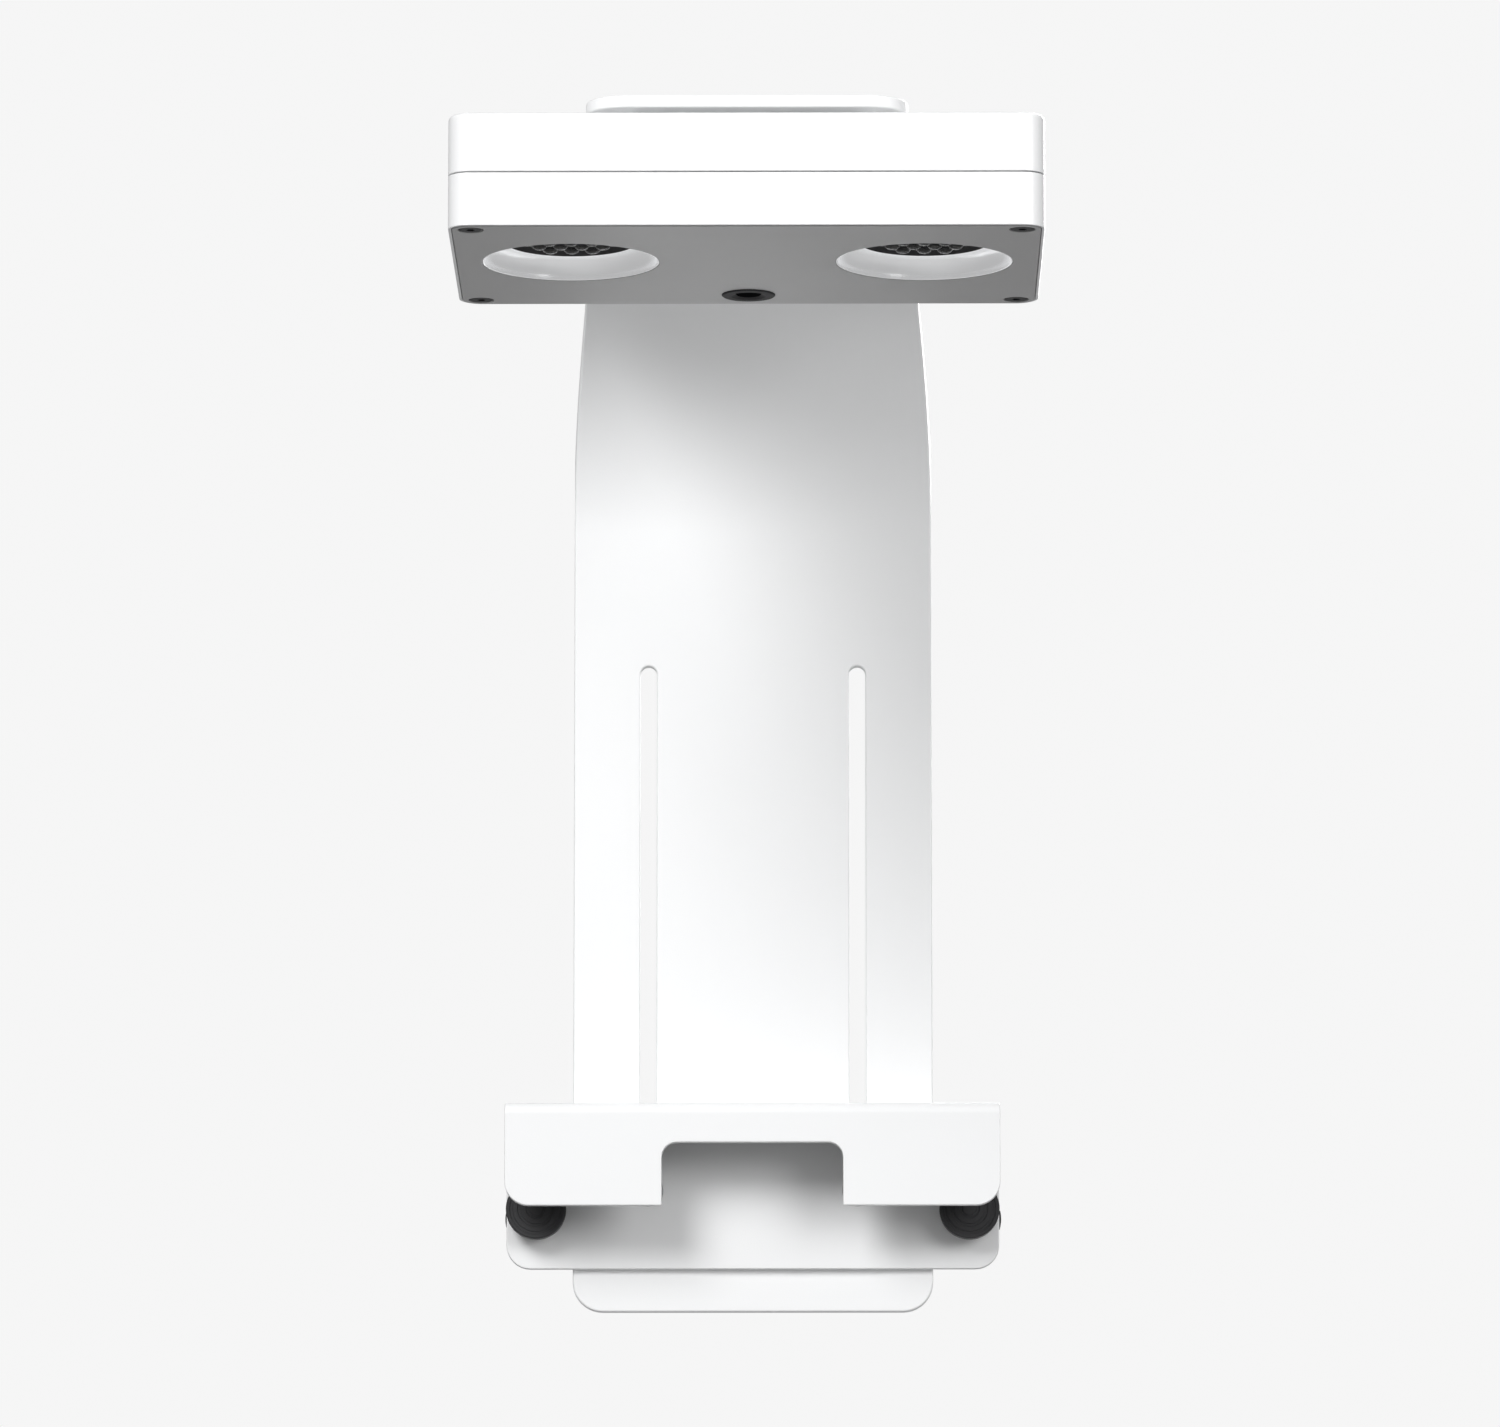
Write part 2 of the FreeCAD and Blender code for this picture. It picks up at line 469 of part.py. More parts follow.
def button_spring():
    z0, z1 = PLATE_TOP - 0.1 + COLLAR_T + SPRING_WIRE_R, BOARD_Z - SPRING_WIRE_R
    helix = Part.makeLongHelix((z1 - z0) / SPRING_TURNS, z1 - z0, SPRING_R)
    ring = Part.Wire(Part.makeCircle(SPRING_WIRE_R, V(SPRING_R, 0, 0), V(0, 1, 0)))
    coil = Part.Wire(helix).makePipeShell([ring], True, True)
    coil.translate(V(0, BUTTON_Y, z0))
    return coil


# ---- arm ----
def arm_plate():
    a = [V(0, ARM_Y0, ARM_BOTTOM), V(0, ARM_Y0, BEND_Z), V(0, BEND_Y, ARM_UNDER), V(0, NOSE_Y, ARM_UNDER),
         V(0, NOSE_Y, ARM_TOP), V(0, BEND_Y, ARM_TOP), V(0, ARM_Y1, BEND_Z), V(0, ARM_Y1, ARM_BOTTOM)]
    c = math.sqrt(0.5)
    mid = lambda r: V(0, BEND_Y + r * c, BEND_Z + r * c)
    line = Part.makeLine
    side = face([line(a[0], a[1]), arc(a[1], mid(ARM_BEND_R), a[2]), line(a[2], a[3]), line(a[3], a[4]),
                 line(a[4], a[5]), arc(a[5], mid(ARM_BEND_R + ARM_T), a[6]), line(a[6], a[7]), line(a[7], a[0])])
    side.translate(V(-ARM_W / 2, 0, 0))
    side = side.extrude(V(ARM_W, 0, 0))
    w, n, r = ARM_W / 2, ARM_NOSE_W / 2, ARM_NOSE_CORNER_R
    k = r * (1 - c)
    z, back = ARM_BOTTOM - 1, ARM_Y1 + 1
    edges = [line(V(-n + r, NOSE_Y, z), V(n - r, NOSE_Y, z)), line(V(-w, back, z), V(w, back, z))]
    for s in SIDES.values():
        points = [V(s * w, ARM_Y0, z)] + [V(s * (w - loss), ARM_Y0 - y, z) for y, loss in ARM_WAISTS]
        points.append(V(s * n, NOSE_Y + r, z))
        curve = Part.BSplineCurve()
        curve.interpolate(Points=points, InitialTangent=V(-0.13 * s, -1, 0), FinalTangent=V(0, -1, 0))
        edges += [line(V(s * w, back, z), points[0]), curve.toShape(),
                  arc(points[-1], V(s * (n - k), NOSE_Y + k, z), V(s * (n - r), NOSE_Y, z))]
    plan = face(edges).extrude(V(0, 0, ARM_TOP - z + 1))
    feet = prism(0, 0, ARM_W, 2 * (BEND_Z - ARM_BOTTOM), ARM_BOTTOM_CORNER_R, NOSE_Y - 1, ARM_Y1 + 1)
    feet.rotate(V(0, 0, 0), X, -90)
    feet.translate(V(0, 0, BEND_Z))
    foot_cut = box(-w - 1, w + 1, NOSE_Y - 2, ARM_Y1 + 2, ARM_BOTTOM - 1, 0).cut(feet)
    body = side.common(plan)
    body = cut(body, [foot_cut])
    holes = []
    for s in SIDES.values():
        x, z0, z1 = s * STUD_X, SLOT_BOTTOM + SLOT_R, SLOT_TOP - SLOT_R
        holes += [box(x - SLOT_R, x + SLOT_R, ARM_Y0 - 1, ARM_Y1 + 1, z0, z1),
                  pin_y(x, z0, SLOT_R, ARM_Y0 - 1, ARM_Y1 + 1), pin_y(x, z1, SLOT_R, ARM_Y0 - 1, ARM_Y1 + 1)]
    holes += [rod(x, y, JOIN_R + FREE, ARM_UNDER - 1, ARM_TOP + 1) for x, y in JOINS]
    holes.append(rod(0, CABLE_HOLE_Y, CABLE_HOLE_R, ARM_UNDER - 1, ARM_TOP + 1))
    return cut(body, holes)


def channel(inner_y, z):
    """Open channel section in plan at height z, its open side on the arm's rear face."""
    w, d, t, r = COVER_W / 2, COVER_DEPTH, COVER_WALL, COVER_EDGE_R
    k = r * (1 - math.sqrt(0.5))
    p = lambda x, y: V(x, inner_y + y, z)
    line = Part.makeLine
    return face([line(p(-w, 0), p(-w, d - r)), arc(p(-w, d - r), p(-w + k, d - k), p(-w + r, d)),
                 line(p(-w + r, d), p(w - r, d)), arc(p(w - r, d), p(w - k, d - k), p(w, d - r)),
                 line(p(w, d - r), p(w, 0)), line(p(w, 0), p(w - t, 0)), line(p(w - t, 0), p(w - t, d - t)),
                 line(p(w - t, d - t), p(-w + t, d - t)), line(p(-w + t, d - t), p(-w + t, 0)),
                 line(p(-w + t, 0), p(-w, 0))])


def cable_covers():
    upright = channel(ARM_Y1, COVER_BOTTOM).extrude(V(0, 0, BEND_Z - COVER_BOTTOM))
    elbow = channel(ARM_Y1, BEND_Z).revolve(V(0, BEND_Y, BEND_Z), X, 90)
    start = channel(ARM_Y1, BEND_Z)
    start.rotate(V(0, BEND_Y, BEND_Z), X, 90)
    top = start.extrude(V(0, COVER_END_Y - BEND_Y, 0))
    t = COVER_WALL
    w = COVER_W / 2 - t
    wall = box(-w, w, COVER_END_Y, COVER_END_Y + t, ARM_TOP, ARM_TOP + COVER_DEPTH - t)
    return upright, elbow, fuse(top, [wall])


def cable_grommet():
    r, t, lip = CABLE_HOLE_R, GROMMET_WALL, GROMMET_LIP
    z0, z1 = ARM_UNDER, ARM_TOP
    return turned(0, CABLE_HOLE_Y, [(r - t, z0 - lip), (r + lip, z0 - lip), (r + lip, z0), (r, z0), (r, z1),
                                    (r + lip, z1), (r + lip, z1 + lip), (r - t, z1 + lip)])


# ---- head to arm fixings ----
def spacer(x, y):
    return rod(x, y, SPACER_R, HEAD_TOP, ARM_UNDER).cut(rod(x, y, JOIN_R + FREE, HEAD_TOP - 1, ARM_UNDER + 1))


def join_nut(x, y):
    r = NUT_FLATS / math.sqrt(3)
    z = CEILING - NUT_T
    pts = [V(x + r * math.cos(math.radians(60 * i)), y + r * math.sin(math.radians(60 * i)), z) for i in range(6)]
    return polygon(pts).extrude(V(0, 0, NUT_T)).cut(rod(x, y, JOIN_R + THREAD, z - 1, CEILING + 1))


# ---- clamp ----
def clamp_bracket():
    t, top = SHEET, RIM_PAD_T + SHEET
    y0, y1 = -PAD_T - t, BACK_Y
    outer, inner, c = BEND_IN + t, BEND_IN, math.sqrt(0.5)
    line = Part.makeLine
    p = lambda y, z: V(-BRACKET_W / 2, y, z)

    def corner(cy, cz, r, sy):
        a, b = p(cy + sy * r, cz), p(cy, cz + r)
        return arc(a, p(cy + sy * r * c, cz + r * c), b)

    cz = top - outer
    edges = [line(p(y0, -JAW_DROP), p(y0, cz)), corner(y0 + outer, cz, outer, -1),
             line(p(y0 + outer, top), p(y1 - outer, top)), corner(y1 - outer, cz, outer, 1),
             line(p(y1, cz), p(y1, -BACK_DROP)), line(p(y1, -BACK_DROP), p(THROAT, -BACK_DROP)),
             line(p(THROAT, -BACK_DROP), p(THROAT, cz)), corner(THROAT - inner, cz, inner, 1),
             line(p(THROAT - inner, top - t), p(-PAD_T + inner, top - t)), corner(-PAD_T + inner, cz, inner, -1),
             line(p(-PAD_T, cz), p(-PAD_T, -JAW_DROP)), line(p(-PAD_T, -JAW_DROP), p(y0, -JAW_DROP))]
    body = face(edges).extrude(V(BRACKET_W, 0, 0))
    foot = lambda e: e.BoundBox.ZMax < -JAW_DROP + 1e-3 and abs(e.BoundBox.YLength - t) < 1e-3 and e.Length < t + 1
    body = round_edges(body, BRACKET_CORNER_R, foot)
    n = JAW_NOTCH_W / 2
    notch = box(-n, n, y0 - 1, -PAD_T + 1, -JAW_DROP - 1, -JAW_DROP * 0.3)
    notch = round_edges(notch, 5.0, lambda e: e.BoundBox.YLength > t and e.CenterOfMass.z > -JAW_DROP * 0.5)
    holes = [notch]
    for s in SIDES.values():
        holes += [pin_y(s * STUD_X, STUD_Z, STUD_SHOULDER_R, THROAT - 1, BACK_Y + 1),
                  pin_y(s * STUD_X, STUD_Z, STUD_HEAD_R, THROAT - 1, THROAT + STUD_HEAD_T),
                  pin_y(s * CLAMP_X, CLAMP_Z, BUSH_R, THROAT - 1, BACK_Y + 1)]
    return cut(body, holes)


def inner_jaw_pad(s):
    x0, x1 = sorted((s * (JAW_NOTCH_W / 2 + 4), s * (BRACKET_W / 2 - 6)))
    return box(x0, x1, -PAD_T, 0, -JAW_DROP + 4, -6)


def height_stud(s):
    x, z = s * STUD_X, STUD_Z
    return fuse(pin_y(x, z, STUD_HEAD_R, THROAT, THROAT + STUD_HEAD_T),
                [pin_y(x, z, STUD_SHOULDER_R, THROAT, ARM_Y1 - 2 * RUN), pin_y(x, z, STUD_R, THROAT, ARM_Y1 + STUD_REACH)])


WASHER_Y = ARM_Y1 + RUN
KNOB_Y = WASHER_Y + WASHER_T + RUN


def height_washer(s):
    x, z = s * STUD_X, STUD_Z
    return pin_y(x, z, WASHER_R, WASHER_Y, WASHER_Y + WASHER_T).cut(pin_y(x, z, STUD_R + RUN, WASHER_Y - 1, WASHER_Y + 5))


def star(x, z, r, y0, y1, lobes, scoop):
    """Grip with scooped flutes, its edges rounded."""
    body = pin_y(x, z, r, y0, y1)
    body = round_edges(body, 1.5, lambda e: abs(e.BoundBox.YLength) < 1e-6)
    cuts = []
    for i in range(lobes):
        a = math.radians(360.0 / lobes * (i + 0.5))
        d = r + scoop * 0.55
        cuts.append(pin_y(x + d * math.cos(a), z + d * math.sin(a), scoop, y0 - 1, y1 + 1))
    return cut(body, cuts)


def height_knob(s):
    x, z = s * STUD_X, STUD_Z
    y1 = KNOB_Y + KNOB_COLLAR_T
    body = fuse(star(x, z, KNOB_R, y1, y1 + KNOB_T, 6, 4.6), [pin_y(x, z, KNOB_COLLAR_R, KNOB_Y, y1 + 2)])
    return body.cut(pin_y(x, z, KNOB_INSERT_R, KNOB_Y - 1, ARM_Y1 + STUD_REACH + 0.4))


def knob_insert(s):
    x, z = s * STUD_X, STUD_Z
    y0, y1 = KNOB_Y + 0.3, ARM_Y1 + STUD_REACH
    return pin_y(x, z, KNOB_INSERT_R, y0, y1).cut(pin_y(x, z, STUD_R + THREAD, y0 - 1, y1 + 1))


DISC_Y = GLASS_T + DISC_RUBBER_T
SHAFT_Y = DISC_Y + DISC_T + 0.1


def pad_rubber(s):
    return pin_y(s * CLAMP_X, CLAMP_Z, DISC_R, GLASS_T, DISC_Y)


def pressure_disc(s):
    x, z = s * CLAMP_X, CLAMP_Z
    body = pin_y(x, z, DISC_R, DISC_Y, DISC_Y + DISC_T)
    return body.cut(pin_y(x, z, CLAMP_TIP_R + RUN, SHAFT_Y - CLAMP_TIP_L - FREE, DISC_Y + DISC_T + 1))


def clamp_screw(s):
    x, z = s * CLAMP_X, CLAMP_Z
    shaft = pin_y(x, z, CLAMP_R, SHAFT_Y, SHAFT_Y + CLAMP_SHAFT_L)
    return fuse(shaft, [pin_y(x, z, CLAMP_TIP_R, SHAFT_Y - CLAMP_TIP_L, SHAFT_Y + 1)])


def clamp_knob(s):
    x, z = s * CLAMP_X, CLAMP_Z
    y1 = SHAFT_Y + CLAMP_SHAFT_L + 2.0
    y0 = y1 - CLAMP_KNOB_T
    body = fuse(star(x, z, CLAMP_KNOB_R, y0, y1, 6, 4.0), [pin_y(x, z, CLAMP_COLLAR_R, y0 - CLAMP_COLLAR_T, y0 + 2)])
    return body.cut(pin_y(x, z, CLAMP_R, y0 - CLAMP_COLLAR_T - 1, SHAFT_Y + CLAMP_SHAFT_L))


def clamp_bush(s):
    x, z = s * CLAMP_X, CLAMP_Z
    body = fuse(pin_y(x, z, BUSH_R, THROAT, BACK_Y + 1), [hexagon_y(x, z, BUSH_FLATS, BACK_Y, BACK_Y + BUSH_L)])
    return body.cut(pin_y(x, z, CLAMP_R + THREAD, THROAT - 1, BACK_Y + BUSH_L + 1))


# ---- write every piece ----
os.makedirs("parts", exist_ok=True)
save("upper_housing", upper_housing())
save("lower_housing", lower_housing())
save("bottom_plate", bottom_plate())
group("plate_screws", [screw(x, y, HEAD_BOTTOM + SCREW_HEAD_T, True, SCREW_R, SCREW_L, SCREW_HEAD_R,
                             SCREW_HEAD_T - 0.1, 1.4) for x, y in CORNERS])
for side, cx in BOWLS.items():
    save("reflector_" + side, reflector(cx))
    save("array_plate_" + side, array_plate(cx))
    save("led_board_" + side, led_board(cx))
    group("lenses_" + side, [lens(x, y) for x, y in led_points(cx)])
    group("emitters_" + side, [chip(x, y) for x, y in led_points(cx)])
group("led_board_screws", [screw(x, y, LED_BOARD_Z, True, LED_SCREW_R, LED_SCREW_L, LED_SCREW_HEAD_R,
                                 LED_SCREW_HEAD_T, 0.7) for cx in BOWLS.values() for x, y in ring_points(cx)])
save("heat_sink", heat_sink())
group("heat_sink_screws", [screw(x, y, SINK_TOP, False, SCREW_R, SINK_SCREW_L, SINK_SCREW_HEAD_R,
                                 SINK_SCREW_HEAD_T, 1.2) for x, y in SINK_POSTS])
save("fan_frame", fan_frame())
save("fan_rotor", fan_rotor())
group("fan_screws", [screw(x, y, FAN_Z + FAN_T, False, SCREW_R, FAN_T + 5.0, SINK_SCREW_HEAD_R, 1.5, 1.2)
                     for x, y in FAN_HOLES])
save("driver_board", driver_board())
group("board_screws", [screw(x, y, BOARD_Z + BOARD_T, False, 1.25, 4.2, 2.3, 1.6, 0.9) for x, y in BOARD_POSTS])
group("board_chips", board_chips())
group("board_capacitors", board_capacitors())
save("dc_socket", dc_socket())
save("switch_body", box(-SWITCH / 2, SWITCH / 2, BUTTON_Y - SWITCH / 2, BUTTON_Y + SWITCH / 2,
                        BOARD_Z - SWITCH_T, BOARD_Z))
save("button_bezel", button_bezel())
save("bezel_nut", rod(0, BUTTON_Y, BEZEL_TUBE_R + 2.4, PLATE_TOP, PLATE_TOP + 1.8).cut(
    rod(0, BUTTON_Y, BEZEL_TUBE_R + THREAD, PLATE_TOP - 1, PLATE_TOP + 3)))
save("control_button", control_button())
save("button_spring", button_spring())
group("arm_spacers", [spacer(x, y) for x, y in JOINS])
group("arm_screws", [screw(x, y, ARM_TOP, False, JOIN_R, ARM_TOP - CEILING + NUT_T + 0.3, JOIN_HEAD_R, JOIN_HEAD_T,
                           1.45) for x, y in JOINS])
group("arm_nuts", [join_nut(x, y) for x, y in JOINS])
save("arm_plate", arm_plate())
for name, shape in zip(("cable_cover_upright", "cable_cover_elbow", "cable_cover_top"), cable_covers()):
    save(name, shape)
save("cable_grommet", cable_grommet())
save("clamp_bracket", clamp_bracket())
save("rim_pad", box(-BRACKET_W / 2 + 6, BRACKET_W / 2 - 6, BEND_IN - PAD_T, THROAT - BEND_IN, 0, RIM_PAD_T))
group("inner_jaw_pads", [inner_jaw_pad(s) for s in SIDES.values()])
group("height_studs", [height_stud(s) for s in SIDES.values()])
group("clamp_bushes", [clamp_bush(s) for s in SIDES.values()])
for side, s in SIDES.items():
    save("height_washer_" + side, height_washer(s))
    save("height_knob_" + side, height_knob(s))
    save("knob_insert_" + side, knob_insert(s))
    save("pad_rubber_" + side, pad_rubber(s))
    save("pressure_disc_" + side, pressure_disc(s))
    save("clamp_screw_" + side, clamp_screw(s))
    save("clamp_knob_" + side, clamp_knob(s))
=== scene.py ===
import json
import math

import bmesh
import bpy
from bpy.props import FloatProperty, FloatVectorProperty, IntProperty, PointerProperty
from bpy.types import Operator, Panel, PropertyGroup
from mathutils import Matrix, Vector


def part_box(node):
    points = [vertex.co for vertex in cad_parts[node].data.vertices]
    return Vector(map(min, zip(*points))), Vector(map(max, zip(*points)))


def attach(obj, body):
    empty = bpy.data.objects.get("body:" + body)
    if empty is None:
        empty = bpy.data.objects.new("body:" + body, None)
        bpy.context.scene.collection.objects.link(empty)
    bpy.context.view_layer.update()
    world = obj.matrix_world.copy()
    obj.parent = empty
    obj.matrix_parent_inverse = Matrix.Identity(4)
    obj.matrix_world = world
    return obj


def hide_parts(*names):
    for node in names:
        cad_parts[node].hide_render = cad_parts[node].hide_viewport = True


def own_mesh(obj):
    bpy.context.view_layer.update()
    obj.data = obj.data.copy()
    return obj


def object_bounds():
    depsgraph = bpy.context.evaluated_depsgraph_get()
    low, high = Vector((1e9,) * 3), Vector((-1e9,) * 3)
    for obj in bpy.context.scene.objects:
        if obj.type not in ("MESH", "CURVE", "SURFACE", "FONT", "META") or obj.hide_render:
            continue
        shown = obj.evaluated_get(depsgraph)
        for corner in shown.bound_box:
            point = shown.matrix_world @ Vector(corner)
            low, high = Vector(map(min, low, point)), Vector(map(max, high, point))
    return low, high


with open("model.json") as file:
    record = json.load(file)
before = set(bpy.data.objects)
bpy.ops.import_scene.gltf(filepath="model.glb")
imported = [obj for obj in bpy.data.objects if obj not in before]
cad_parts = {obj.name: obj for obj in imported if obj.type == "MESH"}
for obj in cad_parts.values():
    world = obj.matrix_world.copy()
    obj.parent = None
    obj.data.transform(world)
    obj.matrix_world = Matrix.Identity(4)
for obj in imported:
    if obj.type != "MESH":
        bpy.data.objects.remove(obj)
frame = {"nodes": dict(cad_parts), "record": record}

bl_info = {
    "name": "LED Aquarium Light",
    "version": (1, 0, 0),
    "blender": (4, 5, 0),
    "location": "View3D > Sidebar > Aquarium Light",
    "description": "A flat LED light head on a bent arm, clamped to the rear glass of a tank",
    "category": "Object",
}

MM = 0.001
NEAR = 1e-6               # places closer than this are the same place, in metres
SIDES = ("left", "right")
CAD_BOX = [list(v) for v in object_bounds()]


def size(name, about, default, **more):
    return FloatProperty(name=name, description=about, default=default * MM, min=0.0, unit="LENGTH",
                         subtype="DISTANCE", precision=5, **more)


def colour(name, about, default):
    return FloatVectorProperty(name=name, description=about, default=default, size=3, min=0.0, max=1.0,
                               subtype="COLOR")


class HeadSizes(PropertyGroup):
    """Sizes of the light head."""
    corner: size("Corner", "Radius of the casing's corners seen from above", 7.0)
    top_edge: size("Top edge", "Radius of the edge round the casing's top", 1.6)
    edge: size("Edge", "Rounding of the casing's other edges", 0.35)
    wall: size("Wall", "Thickness of the casing", 2.5)
    lower_height: size("Lower casing", "Height of the lower casing", 16.7)
    seam: size("Seam", "Gap between the casings", 0.3)
    rim: size("Rim", "Casing left standing round the bottom plate", 1.0)
    fit: size("Fit", "Clearance round the plate and the reflectors", 0.2)
    louvre_width: size("Louvre width", "Width of a side louvre", 2.4)
    louvre_height: size("Louvre height", "Height of a side louvre", 10.0)
    louvre_pitch: size("Louvre pitch", "Distance between side louvres", 5.2)
    louvres: IntProperty(name="Louvres", description="Louvres in each side", default=13, min=1, max=17)
    vent_hole: size("Vent hole", "Radius of a hole over the fan", 1.9)
    socket_hole: size("Socket hole", "Radius of the hole for the power socket", 4.25)
    socket_height: size("Socket height", "Height of the power socket above the tank's rim", 249.0)
    plate: size("Plate", "Thickness of the bottom plate", 2.5)
    plate_edge: size("Plate edge", "Rounding of the bottom plate's edges", 0.3)
    button_hole: size("Button hole", "Radius of the hole for the button's ring", 7.0)
    screw_head: size("Screw head", "Radius of a plate screw's head", 3.8)
    screw_recess: size("Screw recess", "Radius of the plate's screw recesses", 4.0)
    recess_depth: size("Recess depth", "Depth of the plate's screw recesses", 1.5)
    bowl: size("Bowl", "Radius of a reflector's mouth", 27.5)
    neck: size("Neck", "Radius of a reflector's inner end", 20.4)
    lip: size("Lip", "Thickness of a reflector at its mouth", 0.5)
    flange: size("Flange", "Radius of a reflector's flange", 30.0)
    flange_thickness: size("Flange thickness", "Thickness of a reflector's flange", 1.0)


class ArmSizes(PropertyGroup):
    """Sizes of the bent arm."""
    thickness: size("Thickness", "Thickness of the arm's plate", 4.0)
    bend: size("Bend", "Inside radius of the bend", 76.0)
    nose_width: size("Nose width", "Width of the arm's front end", 100.0)
    nose_length: size("Nose length", "Length of the front end before its sides widen", 22.0)
    nose_corner: size("Nose corner", "Radius of the front corners", 13.0)
    foot_corner: size("Foot corner", "Radius of the lower corners", 10.0)
    edge: size("Edge", "Rounding of the plate's edges", 0.7)
    slot_spacing: size("Slot spacing", "Distance between the height slots", 70.0)
    slot_radius: size("Slot radius", "Half the width of a height slot", 2.75)
    slot_top: size("Slot top", "Upper end of the slots above the rim", 156.0)
    slot_foot: size("Slot foot", "Lower end of the slots below the rim", 44.0)
    spacer: size("Spacer", "Radius of a spacer between the head and the arm", 5.0)
    screw_hole: size("Screw hole", "Radius of a screw hole over a spacer", 2.2)
    cable_hole: size("Cable hole", "Radius of the cable hole", 8.0)


class ClampSizes(PropertyGroup):
    """Sizes of the rim clamp."""
    sheet: size("Sheet", "Thickness of the bracket", 3.0)
    fold: size("Fold", "Inside radius of the bracket's folds", 1.0)
    corner: size("Corner", "Radius of the bracket's lower corners", 8.0)
    edge: size("Edge", "Rounding of the bracket's edges", 0.5)
    jaw_margin: size("Jaw margin", "Sheet left below the jaw pads", 4.0)
    notch: size("Notch", "Width of the notch between the inner jaws", 60.0)
    notch_top: size("Notch top", "Top of the notch below the rim", 9.0)
    notch_corner: size("Notch corner", "Radius of the notch's corners", 5.0)
    stud_head: size("Stud head", "Radius of a height stud's head", 5.0)
    bush: size("Bush", "Radius of a clamp bush in its hole", 4.5)
    bush_flats: size("Bush flats", "Size across a clamp bush's hexagon", 11.0)
    jaw_gap: size("Jaw gap", "Distance from the middle to a jaw pad", 34.0)
    groove: size("Groove", "Depth of the grooves in the pads", 0.35)
    height_knob: size("Height knob", "Radius of a height knob", 13.0)
    height_collar: size("Height collar", "Radius of a height knob's collar", 6.5)
    height_collar_length: size("Height collar length", "Length of a height knob's collar", 3.2)
    insert: size("Insert", "Radius of a height knob's brass insert", 4.5)
    clamp_knob: size("Clamp knob", "Radius of a clamp knob", 11.0)
    clamp_collar: size("Clamp collar", "Radius of a clamp knob's collar", 6.0)
    clamp_collar_length: size("Clamp collar length", "Length of a clamp knob's collar", 3.0)
    grip_flutes: IntProperty(name="Grip flutes", description="Flutes round a knob", default=6, min=3, max=12)
    thread_pitch: size("Thread pitch", "Pitch of the clamp screws", 1.0)
    thread_radius: size("Thread radius", "Outer radius of the clamp screws", 3.0)
    tip: size("Tip", "Radius of a clamp screw's tip", 1.8)
    tip_length: size("Tip length", "Length of a clamp screw's tip", 2.3)


class Finishes(PropertyGroup):
    """Colours of the light."""
    white: colour("White", "Casing, arm and bracket", (0.86, 0.865, 0.87))
    # The bottom plate's grey is partly its own tone and partly painted shade: it is darker than the casing to
    # stand in for the shade under the head.
    plate: colour("Plate", "Bottom plate", (0.43, 0.43, 0.433))
    black: colour("Black", "Knobs, screws and fan", (0.02, 0.02, 0.022))
    bezel: colour("Bezel", "Ring round the button", (0.045, 0.045, 0.047))
    rubber: colour("Rubber", "Pads and grommet", (0.028, 0.028, 0.03))
    steel: colour("Steel", "Screws, studs and washers", (0.60, 0.60, 0.61))
    bright: colour("Bright metal", "Reflectors", (0.90, 0.905, 0.915))
    floor: colour("Floor", "Studio floor", (0.86, 0.86, 0.86))


# ---- modelling tools ----
def fresh():
    """Leaves edit mode and deselects everything."""
    if bpy.context.object and bpy.context.object.mode != "OBJECT":
        bpy.ops.object.mode_set(mode="OBJECT")
    bpy.ops.object.select_all(action="DESELECT")


def edit(kind="FACE"):
    bpy.ops.object.mode_set(mode="EDIT")
    bpy.ops.mesh.select_mode(type=kind)


def pick(kind, test):
    """Selects, in edit mode, the vertices, edges or faces that pass the test."""
    bpy.ops.mesh.select_mode(type=kind)
    bpy.ops.mesh.select_all(action="DESELECT")
    mesh = bmesh.from_edit_mesh(bpy.context.object.data)
    for thing in {"VERT": mesh.verts, "EDGE": mesh.edges, "FACE": mesh.faces}[kind]:
        if test(thing):
            thing.select_set(True)
    mesh.select_flush_mode()
    bmesh.update_edit_mesh(bpy.context.object.data)


def middle(edge):
    return (edge.verts[0].co + edge.verts[1].co) / 2


def runs_along(edge, axis):
    run = edge.verts[1].co - edge.verts[0].co
    return run.length > NEAR and abs(run.normalized()[axis]) > 0.999


def merge(distance=NEAR):
    """Merges, in edit mode, all corners that lie on one another."""
    bpy.ops.mesh.select_all(action="SELECT")
    bpy.ops.mesh.remove_doubles(threshold=distance)


def draw_on(x=0.0, y=0.0, z=0.0):
    """Extrudes the selected face and moves it along."""
    bpy.ops.mesh.extrude_region_move(TRANSFORM_OT_translate={"value": (x, y, z)})


def apply_place():
    bpy.ops.object.transform_apply(location=True, rotation=True, scale=True)


def clear_inside():
    """Deletes the walls that drawing and spinning a face leave inside a piece."""
    merge(NEAR / 10)
    bpy.ops.mesh.select_mode(type="FACE")
    bpy.ops.mesh.select_all(action="DESELECT")
    bpy.ops.mesh.select_interior_faces()
    bpy.ops.mesh.delete(type="FACE")
    bpy.ops.mesh.select_all(action="SELECT")
    bpy.ops.mesh.normals_make_consistent(inside=False)


def settle(name, smooth=35.0):
    """Ends a piece: closed, normals outwards, place in the mesh, smooth shading up to an angle."""
    edit()
    merge()
    bpy.ops.mesh.normals_make_consistent(inside=False)
    bpy.ops.object.mode_set(mode="OBJECT")
    apply_place()
    piece = bpy.context.object
    piece.name = piece.data.name = name
    skin = bmesh.new()
    skin.from_mesh(piece.data)
    gaps = sum(1 for edge in skin.edges if len(edge.link_faces) != 2)
    skin.free()
    if gaps:
        raise RuntimeError(f"{name} has {gaps} open edges")
    bpy.ops.object.shade_smooth_by_angle(angle=math.radians(smooth))
    shading = piece.modifiers.new("Even shading", "WEIGHTED_NORMAL")
    shading.mode, shading.keep_sharp = "FACE_AREA", True
    bpy.ops.object.modifier_apply(modifier=shading.name)
    return piece


